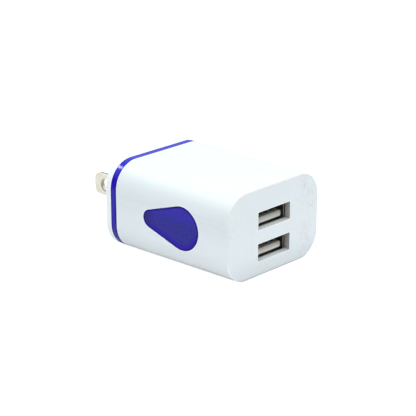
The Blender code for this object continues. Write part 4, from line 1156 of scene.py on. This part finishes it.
def lamp_epoxy():
    """Clear blue epoxy with a cloudy core."""
    g = Graph("lamp_clear_epoxy")
    core = g.ramp(g.noise(1.0, 2.0), 0.3, 0.7)
    g.set(Base_Color=g.mix(core, (0.15, 0.2, 0.85), (0.3, 0.4, 0.95)))
    g.set(Roughness=g.ramp(core, 0, 1, 0.06, 0.12), Transmission_Weight=0.6, Coat_Weight=0.3)
    g.set_grain(0.6, 0.03, 0.02, 1.0)
    return g.material


def floor_paper():
    """Plain white paper that fades out evenly."""
    g = Graph("floor_paper")
    tone = g.mix(g.noise(12.0, 3.0), (0.49, 0.49, 0.49), (0.50, 0.50, 0.50))
    g.set(Base_Color=tone, Specular_IOR_Level=0.0)
    g.set_roughness(5.0, 0.8, 0.9, 2.0)
    g.set(Emission_Color=(1.0, 1.0, 1.0, 1.0), Emission_Strength=0.95)
    return g.material


def all_materials():
    return {
        "white_plastic": white_plastic(),
        "ring_plastic": ring_plastic(),
        "window_plastic": window_plastic(),
        "tongue_plastic": tongue_plastic(),
        "board_laminate": board_laminate(),
        "package_black": moulded("package_epoxy", (0.02, 0.02, 0.021), (0.03, 0.03, 0.03), 0.5),
        "winding_tape": winding_tape(),
        "capacitor_sleeve": capacitor_sleeve(),
        "disc_ceramic": moulded("disc_coating", (0.04, 0.17, 0.45), (0.05, 0.2, 0.5), 0.35, 0.8),
        "resistor_coat": resistor_coat(),
        "lamp_epoxy": lamp_epoxy(),
        "ferrite": moulded("ferrite_sintered", (0.05, 0.05, 0.052), (0.07, 0.07, 0.07), 0.5, 0.15),
        "blade_metal": plated(
            "nickel_plating", (0.84, 0.82, 0.71), (0.75, 0.725, 0.61), 0.29, 0.12, blade_hole_shade_and_top_line
        ),
        "socket_steel": plated("shell_plating", (0.36, 0.33, 0.29), (0.26, 0.23, 0.19), 0.29, 0.2),
        "contact_metal": plated("spring_plating", (0.34, 0.30, 0.25), (0.24, 0.20, 0.16), 0.29, 0.1),
    }


def dress_cad_nodes(materials):
    """Every CAD node that stays in view gets the detailed material of its slot."""
    for part in frame["record"]["subparts"]:
        node = frame["nodes"][part["node"]]
        node.data.materials.clear()
        node.data.materials.append(materials[part["material_slot"]])


# ---- stage

def floor():
    """A sheet of white paper that the underside rests on, so it leans by the body's taper."""
    _, half_z, middle_z, _ = outline_at(FACE_Y)
    rear_z = middle_z - half_z
    _, half_z, middle_z, _ = outline_at(FRONT_Y)
    front_z = middle_z - half_z
    slope = (rear_z - front_z) / (FACE_Y - FRONT_Y)
    gap = 0.02 * MM
    half = 3.0
    shape = bmesh.new()
    bmesh.ops.create_grid(shape, x_segments=8, y_segments=8, size=half)
    item = new_piece("floor", shape)
    item.location = (0, 0, rear_z - gap)
    item.rotation_euler = (math.atan(slope), 0, 0)
    item.data.materials.append(floor_paper())
    keep_glow_off_the_object(item)


def keep_glow_off_the_object(item):
    """The paper's glow evens out its own shadow only, so the charger is lit by what the paper reflects."""
    receivers = bpy.data.collections.new("lit_by_floor_glow")
    receivers.objects.link(item)
    item.light_linking.receiver_collection = receivers


def soft_box(name, place, size, power, target=(0, -0.02, 0)):
    data = bpy.data.lights.new(name, "AREA")
    data.shape = "RECTANGLE"
    data.size, data.size_y = size
    data.energy = power
    item = bpy.data.objects.new(name, data)
    bpy.context.collection.objects.link(item)
    item.location = place
    item.rotation_euler = (Vector(target) - Vector(place)).to_track_quat("-Z", "Y").to_euler()
    item.visible_camera = False


def studio():
    """A dim horizon under a bright ceiling, and soft lights overhead, behind, in front and from below."""
    world = bpy.data.worlds.new("studio")
    bpy.context.scene.world = world
    world.use_nodes = True
    tree = world.node_tree
    background = tree.nodes["Background"]
    coordinates = tree.nodes.new("ShaderNodeTexCoord")
    height = tree.nodes.new("ShaderNodeSeparateXYZ")
    tree.links.new(coordinates.outputs["Generated"], height.inputs[0])
    ceiling = tree.nodes.new("ShaderNodeMapRange")
    ceiling.interpolation_type = "SMOOTHSTEP"
    set_range(ceiling, 0.1, 0.65, HORIZON_LIGHT, CEILING_LIGHT)
    tree.links.new(height.outputs["Z"], ceiling.inputs["Value"])
    tree.links.new(ceiling.outputs["Result"], background.inputs["Strength"])
    background.inputs["Color"].default_value = (0.97, 0.99, 1.0, 1.0)
    soft_box("overhead", (0.0, 0.0, 0.6), (0.7, 0.7), 1.1)
    soft_box("rear", (-0.06, 0.35, 0.36), (0.12, 0.04), 0.13)
    soft_box("front", (0.2, -0.5, 0.3), (0.3, 0.3), 0.25)
    table_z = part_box("outer_housing")[0].z + 1.0 * MM
    soft_box("table", (0.0, 0.0, table_z), (0.8, 0.8), 0.65, (0.0, 0.0, 1.0))
    bpy.context.scene.view_settings.view_transform = "Standard"


def camera():
    """A long lens aimed near the middle of the body, and rolled a little."""
    azimuth = math.radians(CAMERA_AZIMUTH)
    elevation = math.radians(CAMERA_ELEVATION)
    back = Vector(
        (
            math.sin(azimuth) * math.cos(elevation),
            -math.cos(azimuth) * math.cos(elevation),
            math.sin(elevation),
        )
    )
    right = Vector((0, 0, 1)).cross(back).normalized()
    up = back.cross(right).normalized()
    roll = math.radians(CAMERA_ROLL)
    turned_right = right * math.cos(roll) + up * math.sin(roll)
    turned_up = up * math.cos(roll) - right * math.sin(roll)
    middle = Vector((0, (FRONT_Y + FACE_Y) / 2, 0))
    data = bpy.data.cameras.new("camera")
    data.lens = LENS_MM
    data.clip_start = 0.01
    data.clip_end = 20.0
    item = bpy.data.objects.new("camera", data)
    bpy.context.collection.objects.link(item)
    place = middle + turned_right * CAMERA_SIDE + turned_up * CAMERA_RISE + back * CAMERA_DISTANCE
    axes = Matrix((turned_right, turned_up, back)).transposed().to_4x4()
    item.matrix_world = Matrix.Translation(place) @ axes
    bpy.context.scene.camera = item


def main():
    camera()
    studio()
    floor()
    materials = all_materials()
    dress_cad_nodes(materials)
    outer_housing(materials)
    light_ring(materials)
    back_cover(materials)
    drop_window(materials)
    for side in ("left", "right"):
        plug_blade(side, materials)
    for level in ("upper", "lower"):
        usb_shell(level, materials)
        usb_insulator(level, materials)
        for use in CONTACT_USES:
            usb_contact(level, use, materials)


main()
